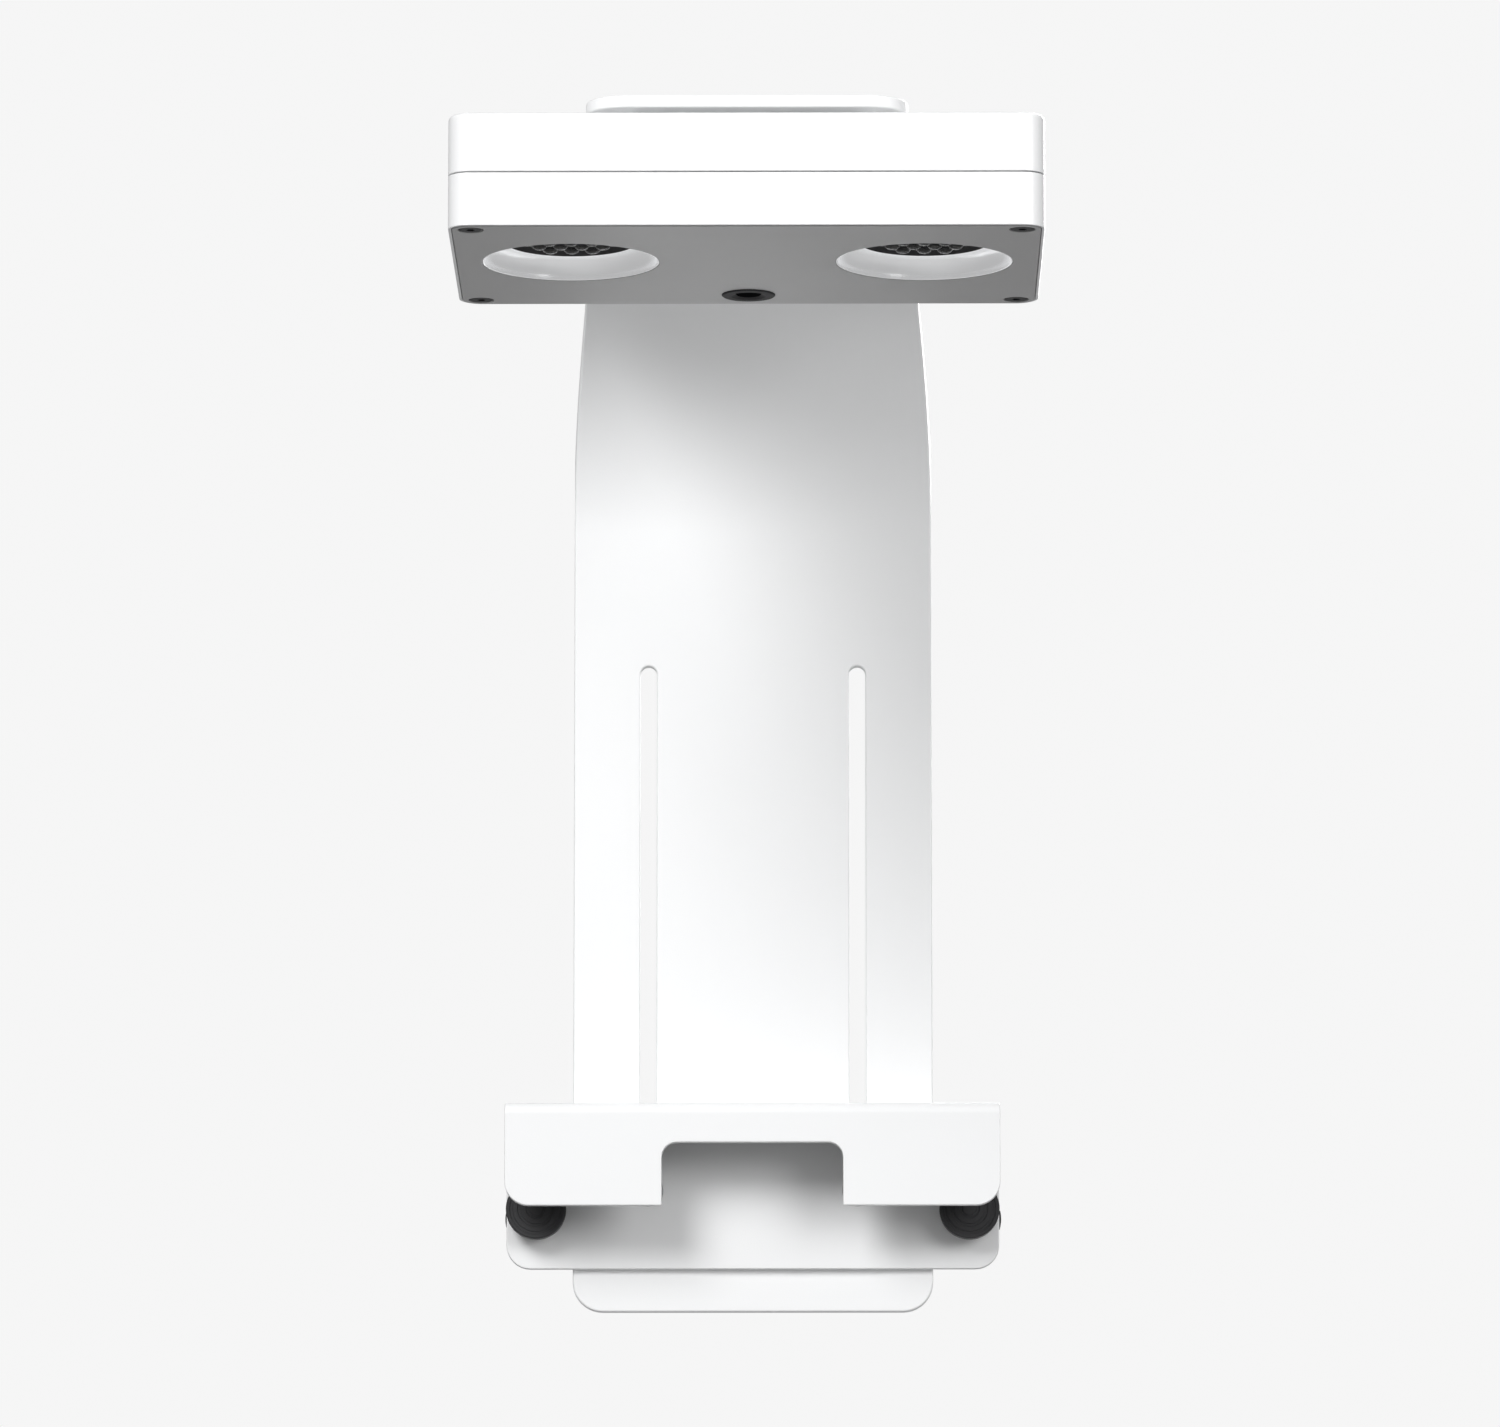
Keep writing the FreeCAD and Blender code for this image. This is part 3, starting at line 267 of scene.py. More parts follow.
def centre_of(node):
    low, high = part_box(node)
    return (low + high) / 2


def take(*pieces):
    """Selects these pieces alone, the first one active."""
    fresh()
    for piece in pieces:
        piece.select_set(True)
    bpy.context.view_layer.objects.active = pieces[0]


def copied(piece, name, shift):
    """A copy of a piece with its own mesh, moved over by the shift."""
    take(piece)
    bpy.ops.object.duplicate(linked=False)
    bpy.ops.transform.translate(value=shift)
    apply_place()
    twin = bpy.context.object
    twin.name = twin.data.name = name
    return twin


def pair(name, node, smooth=35.0):
    """Settles the left piece and copies it to the right, as far as the two nodes are apart."""
    left = settle(name + "_left", smooth)
    apart = centre_of(node + "_right").x - centre_of(node + "_left").x
    return zip(SIDES, (left, copied(left, name + "_right", (apart, 0, 0))))


def block(low, high, corner=0.0, segments=8):
    """A block between two corners, its upright edges rounded."""
    fresh()
    low, high = Vector(low), Vector(high)
    bpy.ops.mesh.primitive_cube_add(size=1.0, location=(low + high) / 2, scale=high - low)
    apply_place()
    if corner:
        edit("EDGE")
        pick("EDGE", lambda e: runs_along(e, 2))
        bpy.ops.mesh.bevel(offset=corner, segments=segments, affect="EDGES")
        bpy.ops.object.mode_set(mode="OBJECT")
    return bpy.context.object


def post(centre, radius, length, axis="Z", sides=48):
    """A round cutter about a centre."""
    fresh()
    turn = {"Y": (math.pi / 2, 0, 0), "Z": (0, 0, 0)}[axis]
    bpy.ops.mesh.primitive_cylinder_add(vertices=sides, radius=radius, depth=length, location=centre,
                                        rotation=turn)
    apply_place()
    return bpy.context.object


ALL_BUT_WHOLE = 0.9999    # a bevel of the whole half width would close on itself


def slot(centre, half_width, length, depth, along, through):
    """A round-ended cutter: its length runs along one axis and its depth through another."""
    spans = [2 * half_width] * 3
    spans[along], spans[through] = length, depth
    half = Vector(spans) / 2
    body = block(Vector(centre) - half, Vector(centre) + half)
    edit("EDGE")
    pick("EDGE", lambda e: runs_along(e, through))
    bpy.ops.mesh.bevel(offset=half_width * ALL_BUT_WHOLE, segments=10, affect="EDGES")
    merge()
    bpy.ops.object.mode_set(mode="OBJECT")
    return body


def gather(pieces):
    """Joins separate solids into one object."""
    take(*pieces)
    if len(pieces) > 1:
        bpy.ops.object.join()
    return bpy.context.object


def carve(piece, cutters):
    """Takes the cutters away from the piece."""
    tool = gather(cutters)
    take(piece)
    cut = piece.modifiers.new("Carve", "BOOLEAN")
    cut.operation, cut.object, cut.solver = "DIFFERENCE", tool, "EXACT"
    bpy.ops.object.modifier_apply(modifier=cut.name)
    bpy.data.objects.remove(tool)


def soften(piece, width, segments=3, angle=40.0):
    """Rounds every sharp edge."""
    take(piece)
    bevel = piece.modifiers.new("Soften", "BEVEL")
    bevel.width, bevel.segments = width, segments
    bevel.limit_method, bevel.angle_limit = "ANGLE", math.radians(angle)
    bpy.ops.object.modifier_apply(modifier=bevel.name)
    return piece


def turned(profile, centre, axis="Z", sides=96, closed=True):
    """Shapes a ring step by step through a profile of (radius, height), then stands it on its axis."""
    fresh()
    bpy.ops.mesh.primitive_circle_add(vertices=sides, radius=profile[0][0], location=(0, 0, profile[0][1]))
    apply_place()
    edit("EDGE")
    bpy.ops.mesh.select_all(action="SELECT")
    ends = profile[1:] + (profile[:1] if closed else [])
    for (r0, z0), (r1, z1) in zip(profile, ends):
        bpy.ops.mesh.extrude_edges_move(TRANSFORM_OT_translate={"value": (0, 0, z1 - z0)})
        bpy.ops.transform.resize(value=(r1 / r0, r1 / r0, 1), center_override=(0, 0, z1))
    if not closed:
        bpy.ops.mesh.edge_face_add()
        pick("EDGE", lambda e: e.is_boundary)
        bpy.ops.mesh.edge_face_add()
    merge(NEAR / 10)
    bpy.ops.object.mode_set(mode="OBJECT")
    piece = bpy.context.object
    piece.rotation_euler = {"Y": (-math.pi / 2, 0, 0), "Z": (0, 0, 0)}[axis]
    piece.location = centre
    apply_place()
    return piece


# ---- finishes ----
def start_group(name, inputs):
    """A new node group with these inputs, and the three outputs that every finish reads."""
    group = bpy.data.node_groups.new(name, "ShaderNodeTree")
    for key, value in inputs:
        kind = "NodeSocketVector" if isinstance(value, tuple) else "NodeSocketFloat"
        group.interface.new_socket(name=key, in_out="INPUT", socket_type=kind).default_value = value
    for key in ("Height", "Roughness", "Shade"):
        group.interface.new_socket(name=key, in_out="OUTPUT", socket_type="NodeSocketFloat")
    return group


def feed(group, socket, value):
    """Sets a socket to a plain value, or links it to the socket that the value comes from."""
    if isinstance(value, (int, float, tuple)):
        socket.default_value = value
    else:
        group.links.new(value, socket)


def maths(group, operation, *values, kind="ShaderNodeMath"):
    node = group.nodes.new(kind)
    node.operation = operation
    for socket, value in zip(node.inputs, values):
        feed(group, socket, value)
    return node.outputs[0]


def noise(group, place, scale, detail=2.0):
    node = group.nodes.new("ShaderNodeTexNoise")
    feed(group, node.inputs["Vector"], place)
    feed(group, node.inputs["Scale"], scale)
    node.inputs["Detail"].default_value = detail
    return node.outputs["Fac"]


def end_group(group, height, roughness, shade):
    go = group.nodes.new("NodeGroupOutput")
    for key, value in (("Height", height), ("Roughness", roughness), ("Shade", shade)):
        group.links.new(value, go.inputs[key])
    return group


def grain_group():
    """Moulded or coated surface: fine grain, with roughness and shade that drift over it."""
    if "Surface Grain" in bpy.data.node_groups:
        return bpy.data.node_groups["Surface Grain"]
    group = start_group("Surface Grain", (("Grain Scale", 900.0), ("Patch Scale", 18.0), ("Roughness", 0.4),
                                          ("Spread", 0.06), ("Shade", 0.03)))
    given = group.nodes.new("NodeGroupInput").outputs
    place = group.nodes.new("ShaderNodeTexCoord").outputs["Object"]
    fine = noise(group, place, given["Grain Scale"])
    patch = noise(group, place, given["Patch Scale"], 3.0)
    drift = maths(group, "SUBTRACT", patch, 0.5)
    rough = maths(group, "MULTIPLY_ADD", drift, given["Spread"], given["Roughness"])
    return end_group(group, fine, rough, maths(group, "MULTIPLY", patch, given["Shade"]))


def brushed_group():
    """Fine lines along one direction, set by how much each axis is stretched."""
    if "Brushed Lines" in bpy.data.node_groups:
        return bpy.data.node_groups["Brushed Lines"]
    group = start_group("Brushed Lines", (("Stretch", (60.0, 2500.0, 2500.0)), ("Roughness", 0.3),
                                          ("Spread", 0.15)))
    given = group.nodes.new("NodeGroupInput").outputs
    place = group.nodes.new("ShaderNodeTexCoord").outputs["Object"]
    drawn = maths(group, "MULTIPLY", place, given["Stretch"], kind="ShaderNodeVectorMath")
    lines = noise(group, drawn, 1.0, 3.0)
    rough = maths(group, "MULTIPLY_ADD", lines, given["Spread"], given["Roughness"])
    return end_group(group, lines, rough, maths(group, "MULTIPLY", lines, 0.25))


def spun_group():
    """Lines that run from a bowl's mouth to its neck, about an upright centre line."""
    if "Spun Bowl" in bpy.data.node_groups:
        return bpy.data.node_groups["Spun Bowl"]
    group = start_group("Spun Bowl", (("Centre", (0.0, 0.0, 0.0)), ("Roughness", 0.2)))
    given = group.nodes.new("NodeGroupInput").outputs
    place = group.nodes.new("ShaderNodeTexCoord").outputs["Object"]
    vector = "ShaderNodeVectorMath"
    away = maths(group, "SUBTRACT", place, given["Centre"], kind=vector)
    level = maths(group, "MULTIPLY", away, (1.0, 1.0, 0.0), kind=vector)
    heading = maths(group, "NORMALIZE", level, kind=vector)
    broad = noise(group, heading, 4.0)
    lines = noise(group, heading, 45.0)
    rough = maths(group, "MULTIPLY_ADD", lines, 0.16, given["Roughness"])
    return end_group(group, lines, rough, maths(group, "MULTIPLY", broad, 0.35))


DEEPEST = 0.55            # the darkest shade of a finish, as a share of its tone
COAT_ROUGHNESS = 0.12


def finish_with(name, tone, group, values, bump=0.1, distance=0.0002, metallic=0.0, coat=0.0, deep=None,
                transmission=0.0, glow=0.0, ior=1.5, shine=0.5):
    """A material whose tone, roughness and relief come from one of the groups above."""
    if name in bpy.data.materials:
        return bpy.data.materials[name]
    material = bpy.data.materials.new(name)
    material.use_nodes = True
    nodes, link = material.node_tree.nodes, material.node_tree.links.new
    pattern = nodes.new("ShaderNodeGroup")
    pattern.node_tree = group
    for key, value in values.items():
        pattern.inputs[key].default_value = value
    mix = nodes.new("ShaderNodeMix")
    mix.data_type = "RGBA"
    mix.inputs["A"].default_value = (*tone, 1.0)
    mix.inputs["B"].default_value = (*(deep or [c * DEEPEST for c in tone]), 1.0)
    relief = nodes.new("ShaderNodeBump")
    relief.inputs["Strength"].default_value = bump
    relief.inputs["Distance"].default_value = distance
    shader = nodes["Principled BSDF"].inputs
    link(pattern.outputs["Shade"], mix.inputs["Factor"])
    link(mix.outputs["Result"], shader["Base Color"])
    link(pattern.outputs["Roughness"], shader["Roughness"])
    link(pattern.outputs["Height"], relief.inputs["Height"])
    link(relief.outputs["Normal"], shader["Normal"])
    shader["Metallic"].default_value = metallic
    shader["Coat Weight"].default_value = coat
    shader["Coat Roughness"].default_value = COAT_ROUGHNESS
    shader["Transmission Weight"].default_value = transmission
    shader["IOR"].default_value = ior
    shader["Specular IOR Level"].default_value = shine
    # Emission: the emitters' own light, and the bowls' painted glow.
    if glow:
        shader["Emission Color"].default_value = (*tone, 1.0)
        shader["Emission Strength"].default_value = glow
    return material


def grain(name, tone, rough, scale=900.0, spread=0.08, shade=0.06, patch=18.0, **more):
    values = {"Grain Scale": scale, "Patch Scale": patch, "Roughness": rough, "Spread": spread,
              "Shade": shade}
    return finish_with(name, tone, grain_group(), values, **more)


def brushed(name, tone, rough, stretch, spread=0.15, **more):
    values = {"Stretch": stretch, "Roughness": rough, "Spread": spread}
    return finish_with(name, tone, brushed_group(), values, metallic=1.0, **more)


ALONG_X, ALONG_Y, ALONG_Z = (40.0, 2400.0, 2400.0), (2200.0, 90.0, 2200.0), (2200.0, 2200.0, 90.0)


def finishes():
    """Every material of the light by the name of its record slot: tone, roughness, grain or brushing."""
    chosen = bpy.context.scene.light_finishes
    white, black = tuple(chosen.white), tuple(chosen.black)
    plain = [c * 0.97 for c in white]
    jet, soot, coal = ([c * share for c in black] for share in (0.3, 0.4, 1.3))
    return {
        "white_casing": grain("Casing white", white, 0.30, 1500.0, bump=0.05, coat=0.25),
        "white_arm": grain("Arm powder coat", white, 0.40, 2200.0, spread=0.1, bump=0.12, coat=0.1),
        "white_cover": grain("Cover white", plain, 0.46, 2600.0, bump=0.14),
        "white_bracket": grain("Bracket powder coat", plain, 0.42, 2000.0, bump=0.14, coat=0.1),
        # Bottom plate: its grey is partly its own tone and partly painted shade under the head.
        "grey_plate": grain("Plate grey with painted shade", tuple(chosen.plate), 0.42, 1800.0, spread=0.1, shade=0.08,
                            bump=0.08),
        "black_screw": grain("Black screw", black, 0.45, 1400.0, bump=0.1, shine=0.15),
        "array_black": grain("Array black", soot, 0.7, 2600.0, bump=0.2, shine=0.1),
        "lens_clear": grain("Lens clear", (0.95, 0.97, 1.0), 0.04, 800.0, spread=0.04, shade=0.02, bump=0.01,
                            transmission=1.0, ior=1.49),
        "emitter": grain("Emitter", (1.0, 0.97, 0.86), 0.5, 3000.0, bump=0.05, glow=0.9),
        "board_white": grain("Board white", (0.82, 0.83, 0.82), 0.4, 1500.0, bump=0.05),
        "sink_aluminium": brushed("Extruded aluminium", (0.74, 0.75, 0.76), 0.30, ALONG_X, bump=0.12),
        "fan_black": grain("Fan black", coal, 0.42, 1600.0, bump=0.1),
        "board_green": grain("Board green", (0.02, 0.16, 0.07), 0.36, 1200.0, bump=0.08),
        "chip_black": grain("Chip black", (0.03, 0.03, 0.03), 0.5, 2500.0, bump=0.12),
        "can_metal": brushed("Capacitor can", (0.62, 0.63, 0.66), 0.28, (2000.0, 2000.0, 60.0), bump=0.08),
        "socket_black": grain("Socket black", black, 0.28, 1500.0, bump=0.06),
        "bezel_dark": grain("Bezel grey", tuple(chosen.bezel), 0.5, 2000.0, bump=0.1, shine=0.03),
        "button_black": grain("Button black", jet, 0.55, 1500.0, bump=0.05, shine=0.0),
        "steel": brushed("Turned steel", tuple(chosen.steel), 0.24, ALONG_Y, bump=0.1),
        "spacer_aluminium": brushed("Spacer aluminium", (0.80, 0.80, 0.81), 0.26, ALONG_Z, bump=0.1),
        "pad_rubber": grain("Pad rubber", tuple(chosen.rubber), 0.72, 1200.0, spread=0.12, shade=0.2,
                            bump=0.25),
        "knob_black": grain("Knob black", black, 0.44, 1700.0, spread=0.1, shade=0.15, bump=0.2),
        "brass": brushed("Turned brass", (0.78, 0.60, 0.32), 0.24, ALONG_Y, bump=0.1),
    }


def bowl_finish(side, centre):
    """Spun metal about the bowl's own centre line, with a faint painted glow: an emission that brightens the
    bowl, though the bowl is no lamp.
    """
    bright = tuple(bpy.context.scene.light_finishes.bright)
    # glow=0.2 is painted light: a faint emission on the metal bowl that brightens it.
    return finish_with("Bowl " + side, bright, spun_group(), {"Centre": centre, "Roughness": 0.16},
                       bump=0.08, distance=0.0001, metallic=1.0, glow=0.2, deep=[c * 0.72 for c in bright])


def dress(piece, slot_name, body, *nodes, material=None):
    """Gives a piece its finish, its body and the nodes it stands for."""
    piece.data.materials.clear()
    piece.data.materials.append(material or finishes()[slot_name])
    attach(piece, body)
    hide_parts(*nodes)


class PieceOperator:
    """What the operators share."""
    bl_options = {"REGISTER", "UNDO"}


# ---- light head ----
CORNER_STEPS = 12
VENT_RINGS = ((8.5, 6), (14.5, 10), (20.5, 14), (26.0, 18))  # (distance from the fan's axis in mm, holes)
CLEAR = 20 * MM           # length of a cutter that goes right through a thin wall


def plate_top():
    """Height of the bottom plate's upper face."""
    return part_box("bottom_plate")[0].z + bpy.context.scene.head_sizes.plate


class AddUpperHousing(PieceOperator, Operator):
    """Upper casing: rounded block, hollowed from below, louvres in both sides and a vent over the fan"""
    bl_idname = "aquarium_light.upper_housing"
    bl_label = "Upper Housing"

    def execute(self, context):
        s = context.scene.head_sizes
        low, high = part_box("upper_housing")
        low.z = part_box("lower_housing")[0].z + s.lower_height + s.seam
        body = block(low, high, s.corner, CORNER_STEPS)
        edit("EDGE")
        pick("EDGE", lambda e: all(abs(v.co.z - high.z) < NEAR for v in e.verts))
        bpy.ops.mesh.bevel(offset=s.top_edge, segments=5, affect="EDGES")
        pick("FACE", lambda f: f.normal.z < -0.99)
        bpy.ops.mesh.inset(thickness=s.wall)
        draw_on(z=high.z - low.z - s.wall)
        bpy.ops.object.mode_set(mode="OBJECT")
        middle_y, middle_z = (low.y + high.y) / 2, (low.z + high.z) / 2
        through = 4 * s.wall
        louvres = []
        for i in range(s.louvres):
            y = middle_y + (i - (s.louvres - 1) / 2) * s.louvre_pitch
            for x in (low.x, high.x):
                louvres.append(slot((x, y, middle_z), s.louvre_width / 2, s.louvre_height, through, 2, 0))
        carve(body, louvres)
        fan = centre_of("fan_frame")
        vent = []
        for ring, holes in VENT_RINGS:
            for i in range(holes):
                turn = 2 * math.pi * i / holes
                x, y = fan.x + ring * MM * math.cos(turn), fan.y + ring * MM * math.sin(turn)
                vent.append(post((x, y, high.z), s.vent_hole, through, sides=20))
        carve(body, vent)
        soften(body, s.edge, 2)
        dress(settle("upper_casing"), "white_casing", "lamp", "upper_housing")
        return {"FINISHED"}


class AddLowerHousing(PieceOperator, Operator):
    """Lower casing: rounded ring with a rebate for the plate and a hole for the power socket"""
    bl_idname = "aquarium_light.lower_housing"
    bl_label = "Lower Housing"

    def execute(self, context):
        s = context.scene.head_sizes
        low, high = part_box("lower_housing")
        high.z = low.z + s.lower_height
        body = block(low, high, s.corner, CORNER_STEPS)
        over, wall, rim = Vector((0, 0, CLEAR / 4)), Vector((s.wall, s.wall, 0)), Vector((s.rim, s.rim, 0))
        carve(body, [block(low + wall - over, high - wall + over, s.corner - s.wall, 10)])
        rebate = Vector((high.x, high.y, plate_top()))
        carve(body, [block(low + rim - over, rebate - rim, s.corner - s.rim, 10)])
        socket = (centre_of("dc_socket").x, high.y, s.socket_height)
        carve(body, [post(socket, s.socket_hole, CLEAR, "Y")])
        soften(body, s.edge, 2)
        dress(settle("lower_casing"), "white_casing", "lamp", "lower_housing")
        return {"FINISHED"}


class AddBottomPlate(PieceOperator, Operator):
    """Bottom plate: bowl openings, button hole and screw recesses, all edges broken"""
    bl_idname = "aquarium_light.bottom_plate"
    bl_label = "Bottom Plate"

    def execute(self, context):
        s = context.scene.head_sizes
        low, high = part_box("bottom_plate")
        high.z = plate_top()
        body = block(low, high, s.corner - s.rim - s.fit, CORNER_STEPS)
        cutters = []
        for side in SIDES:
            bowl = centre_of("array_plate_" + side)
            cutters.append(post((bowl.x, bowl.y, low.z), s.bowl + s.fit, CLEAR, sides=128))
        button = centre_of("button_bezel")
        cutters.append(post((button.x, button.y, low.z), s.button_hole, CLEAR, sides=64))
        first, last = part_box("plate_screws")
        for x in (first.x + s.screw_head, last.x - s.screw_head):
            for y in (first.y + s.screw_head, last.y - s.screw_head):
                cutters.append(post((x, y, low.z), s.screw_recess, 2 * s.recess_depth))
        carve(body, cutters)
        soften(body, s.plate_edge, 2)
        dress(settle("light_plate"), "grey_plate", "lamp", "bottom_plate")
        return {"FINISHED"}


BOWL_STEPS = 9
BOWL_MOUTH_Z = 0.2        # height of the mouth's bevelled edge, mm
BOWL_BACK = ((1.8, 0.5), (4.8, -0.2))  # outer wall: (outwards from the neck, up from its inner end), mm


class AddReflectors(PieceOperator, Operator):
    """Reflector bowls: a ring drawn up in steps from the mouth to the neck, with a flange behind the plate"""
    bl_idname = "aquarium_light.reflectors"
    bl_label = "Reflectors"

    def execute(self, context):
        s = context.scene.head_sizes
        inner_end, top = (corner.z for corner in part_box("array_plate_left"))
        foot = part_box("reflector_left")[0].z
        mouth, mouth_z = s.bowl - s.lip, foot + BOWL_MOUTH_Z * MM
        profile = [(mouth + s.lip / 2, foot), (mouth, mouth_z)]
        for i in range(1, BOWL_STEPS + 1):
            turn = math.pi / 2 * i / BOWL_STEPS
            profile.append((s.neck + (mouth - s.neck) * math.cos(turn),
                            mouth_z + (inner_end - mouth_z) * math.sin(turn)))
        seat = plate_top()
        back = seat + s.flange_thickness
        profile += [(s.neck, top), (s.neck + 1.4 * MM, top)]
        profile += [(s.neck + out * MM, inner_end + up * MM) for out, up in BOWL_BACK]
        profile += [(s.bowl - s.fit, back), (s.flange, back), (s.flange, seat)]
        profile += [(s.bowl, seat), (s.bowl, foot)]
        centre = centre_of("array_plate_left")
        turned(profile, (centre.x, centre.y, 0), sides=128)
        for side, piece in pair("bowl", "array_plate", 50.0):
            centre = centre_of("array_plate_" + side)
            metal = bowl_finish(side, (centre.x, centre.y, 0))
            dress(piece, "reflector_metal", "lamp", "reflector_" + side, material=metal)
        return {"FINISHED"}


# ---- arm ----
# How far forward of the upright, and the loss of half width there, in mm
WAISTS = ((0.0, 0.0), (42.7, 4.5), (95.0, 6.4), (170.0, 8.2))
FIRST_TAPER = 0.13        # loss of half width for each length forward, where the bend begins


def half_width(forward, length, wide, nose):
    """Half width of the arm at a place forward of its upright: a smooth curve through the waists."""
    places = [(d * MM, loss * MM) for d, loss in WAISTS] + [(length, wide - nose)]
    slopes = [(b[1] - a[1]) / (b[0] - a[0]) for a, b in zip(places[:-2], places[2:])]
    slopes = [FIRST_TAPER, *slopes, 0.0]
    forward = max(forward, 0.0)
    for a, b, leaving, arriving in zip(places, places[1:], slopes, slopes[1:]):
        if forward <= b[0] + 1e-9:
            span = b[0] - a[0]
            t = (forward - a[0]) / span
            loss = (2 * t ** 3 - 3 * t ** 2 + 1) * a[1] + (t ** 3 - 2 * t ** 2 + t) * span * leaving
            loss += (3 * t ** 2 - 2 * t ** 3) * b[1] + (t ** 3 - t ** 2) * span * arriving
            return wide - loss
    return nose


class AddArm(PieceOperator, Operator):
    """Arm: a flat bar drawn back from the nose, spun through the bend and drawn down, tapered and slotted"""
    bl_idname = "aquarium_light.arm"
    bl_label = "Arm"

    def execute(self, context):
        s = context.scene.arm_sizes
        low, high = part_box("arm_plate")
        wide, thick = high.x, s.thickness
        front = high.y - thick
        bend_y, bend_z = front - s.bend, high.z - thick - s.bend
        fresh()
        bpy.ops.mesh.primitive_plane_add(size=1.0, location=(0, low.y, high.z - thick / 2),
                                         rotation=(math.pi / 2, 0, 0))
        bpy.ops.transform.resize(value=(2 * wide, 1, thick))
        apply_place()
        edit("FACE")
        bpy.ops.mesh.select_all(action="SELECT")
        taper = bend_y - low.y - s.nose_length
        for step in [s.nose_length] + [taper / 12] * 12:
            draw_on(y=step)
        bpy.ops.mesh.spin(steps=36, angle=math.pi / 2, center=(0, bend_y, bend_z), axis=(1, 0, 0))
        for share in (0.1, 0.9):
            draw_on(z=(low.z - bend_z) * share)
        clear_inside()
        mesh = bmesh.from_edit_mesh(context.object.data)
        nose = s.nose_width / 2
        for y in sorted({round(v.co.y, 7) for v in mesh.verts}):
            narrowed = half_width(front - y, front - low.y - s.nose_corner, wide, nose) / wide
            if narrowed < 0.99999:
                pick("VERT", lambda v: abs(v.co.y - y) < NEAR / 5)
                bpy.ops.transform.resize(value=(narrowed, 1, 1), center_override=(0, 0, 0))
        pick("EDGE", lambda e: runs_along(e, 2) and abs(middle(e).y - low.y) < NEAR)
        bpy.ops.mesh.bevel(offset=s.nose_corner, segments=14, affect="EDGES")
        pick("EDGE", lambda e: runs_along(e, 1) and abs(middle(e).z - low.z) < NEAR)
        bpy.ops.mesh.bevel(offset=s.foot_corner, segments=10, affect="EDGES")
        bpy.ops.object.mode_set(mode="OBJECT")
        arm = context.object
        through = 4 * thick
        cutters = []
        for x in (-s.slot_spacing / 2, s.slot_spacing / 2):
            place = (x, high.y - thick / 2, (s.slot_top - s.slot_foot) / 2)
            cutters.append(slot(place, s.slot_radius, s.slot_top + s.slot_foot, through, 2, 1))
        first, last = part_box("arm_spacers")
        for x in (first.x + s.spacer, last.x - s.spacer):
            for y in (first.y + s.spacer, last.y - s.spacer):
                cutters.append(post((x, y, high.z), s.screw_hole, through, sides=32))
        cutters.append(post((0, centre_of("cable_grommet").y, high.z), s.cable_hole, through, sides=64))
        carve(arm, cutters)
        soften(arm, s.edge)
        dress(settle("bent_arm", 30.0), "white_arm", "lamp", "arm_plate")
        return {"FINISHED"}


# ---- clamp ----
class AddBracket(PieceOperator, Operator):
    """Clamp bracket: sheet drawn up the inner jaw, folded over the rim and drawn down behind the glass"""
    bl_idname = "aquarium_light.bracket"
    bl_label = "Bracket"

    def execute(self, context):
        s = context.scene.clamp_sizes
        low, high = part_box("clamp_bracket")
        jaw_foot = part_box("inner_jaw_pads")[0].z - s.jaw_margin
        sheet, bend = s.sheet, s.sheet + s.fold
        fold_z = high.z - bend
        fresh()
        bpy.ops.mesh.primitive_plane_add(size=1.0, location=(0, low.y + sheet / 2, jaw_foot))
        bpy.ops.transform.resize(value=(high.x - low.x, sheet, 1))
        apply_place()
        edit("FACE")
        bpy.ops.mesh.select_all(action="SELECT")
        draw_on(z=fold_z - jaw_foot)
        bpy.ops.mesh.spin(steps=8, angle=math.pi / 2, center=(0, low.y + bend, fold_z), axis=(1, 0, 0))
        draw_on(y=(high.y - bend) - (low.y + bend))
        bpy.ops.mesh.spin(steps=8, angle=math.pi / 2, center=(0, high.y - bend, fold_z), axis=(1, 0, 0))
        draw_on(z=low.z - fold_z)
        clear_inside()
        feet = (jaw_foot, low.z)
        pick("EDGE", lambda e: runs_along(e, 1) and min(abs(middle(e).z - z) for z in feet) < NEAR)
        bpy.ops.mesh.bevel(offset=s.corner, segments=8, affect="EDGES")
        bpy.ops.object.mode_set(mode="OBJECT")
        bracket = context.object
        reach = s.notch / 2
        notch = block((-reach, low.y - sheet, jaw_foot - CLEAR / 2), (reach, low.y + 2 * sheet, -s.notch_top))
        edit("EDGE")
        pick("EDGE", lambda e: runs_along(e, 1) and middle(e).z > jaw_foot)
        bpy.ops.mesh.bevel(offset=s.notch_corner, segments=8, affect="EDGES")
        bpy.ops.object.mode_set(mode="OBJECT")
        carve(bracket, [notch])
        bush_corner = s.bush_flats / 2 / math.cos(math.pi / 6)
        cutters = []
        for node, radius, inset in (("height_studs", s.stud_head, s.stud_head),
                                    ("clamp_bushes", s.bush, bush_corner)):
            first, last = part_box(node)
            for x in (first.x + inset, last.x - inset):
                cutters.append(post((x, high.y, (first.z + last.z) / 2), radius, 4 * sheet, "Y"))
        carve(bracket, cutters)
        soften(bracket, s.edge, 2)
        dress(settle("rim_bracket"), "white_bracket", "clamp", "clamp_bracket")
        return {"FINISHED"}


GROOVE_SHARE = 0.8        # a groove's width, as a share of a rib's
DISC_GROOVES = (2.2, 5.0, 7.6)  # inner radii of the grooves in a clamp screw's pad, mm
GROOVE_SHAPE = ((0.0, 0.0), (0.2, 0.3), (1.0, 0.3), (1.2, 0.0))  # (outwards, deep), mm


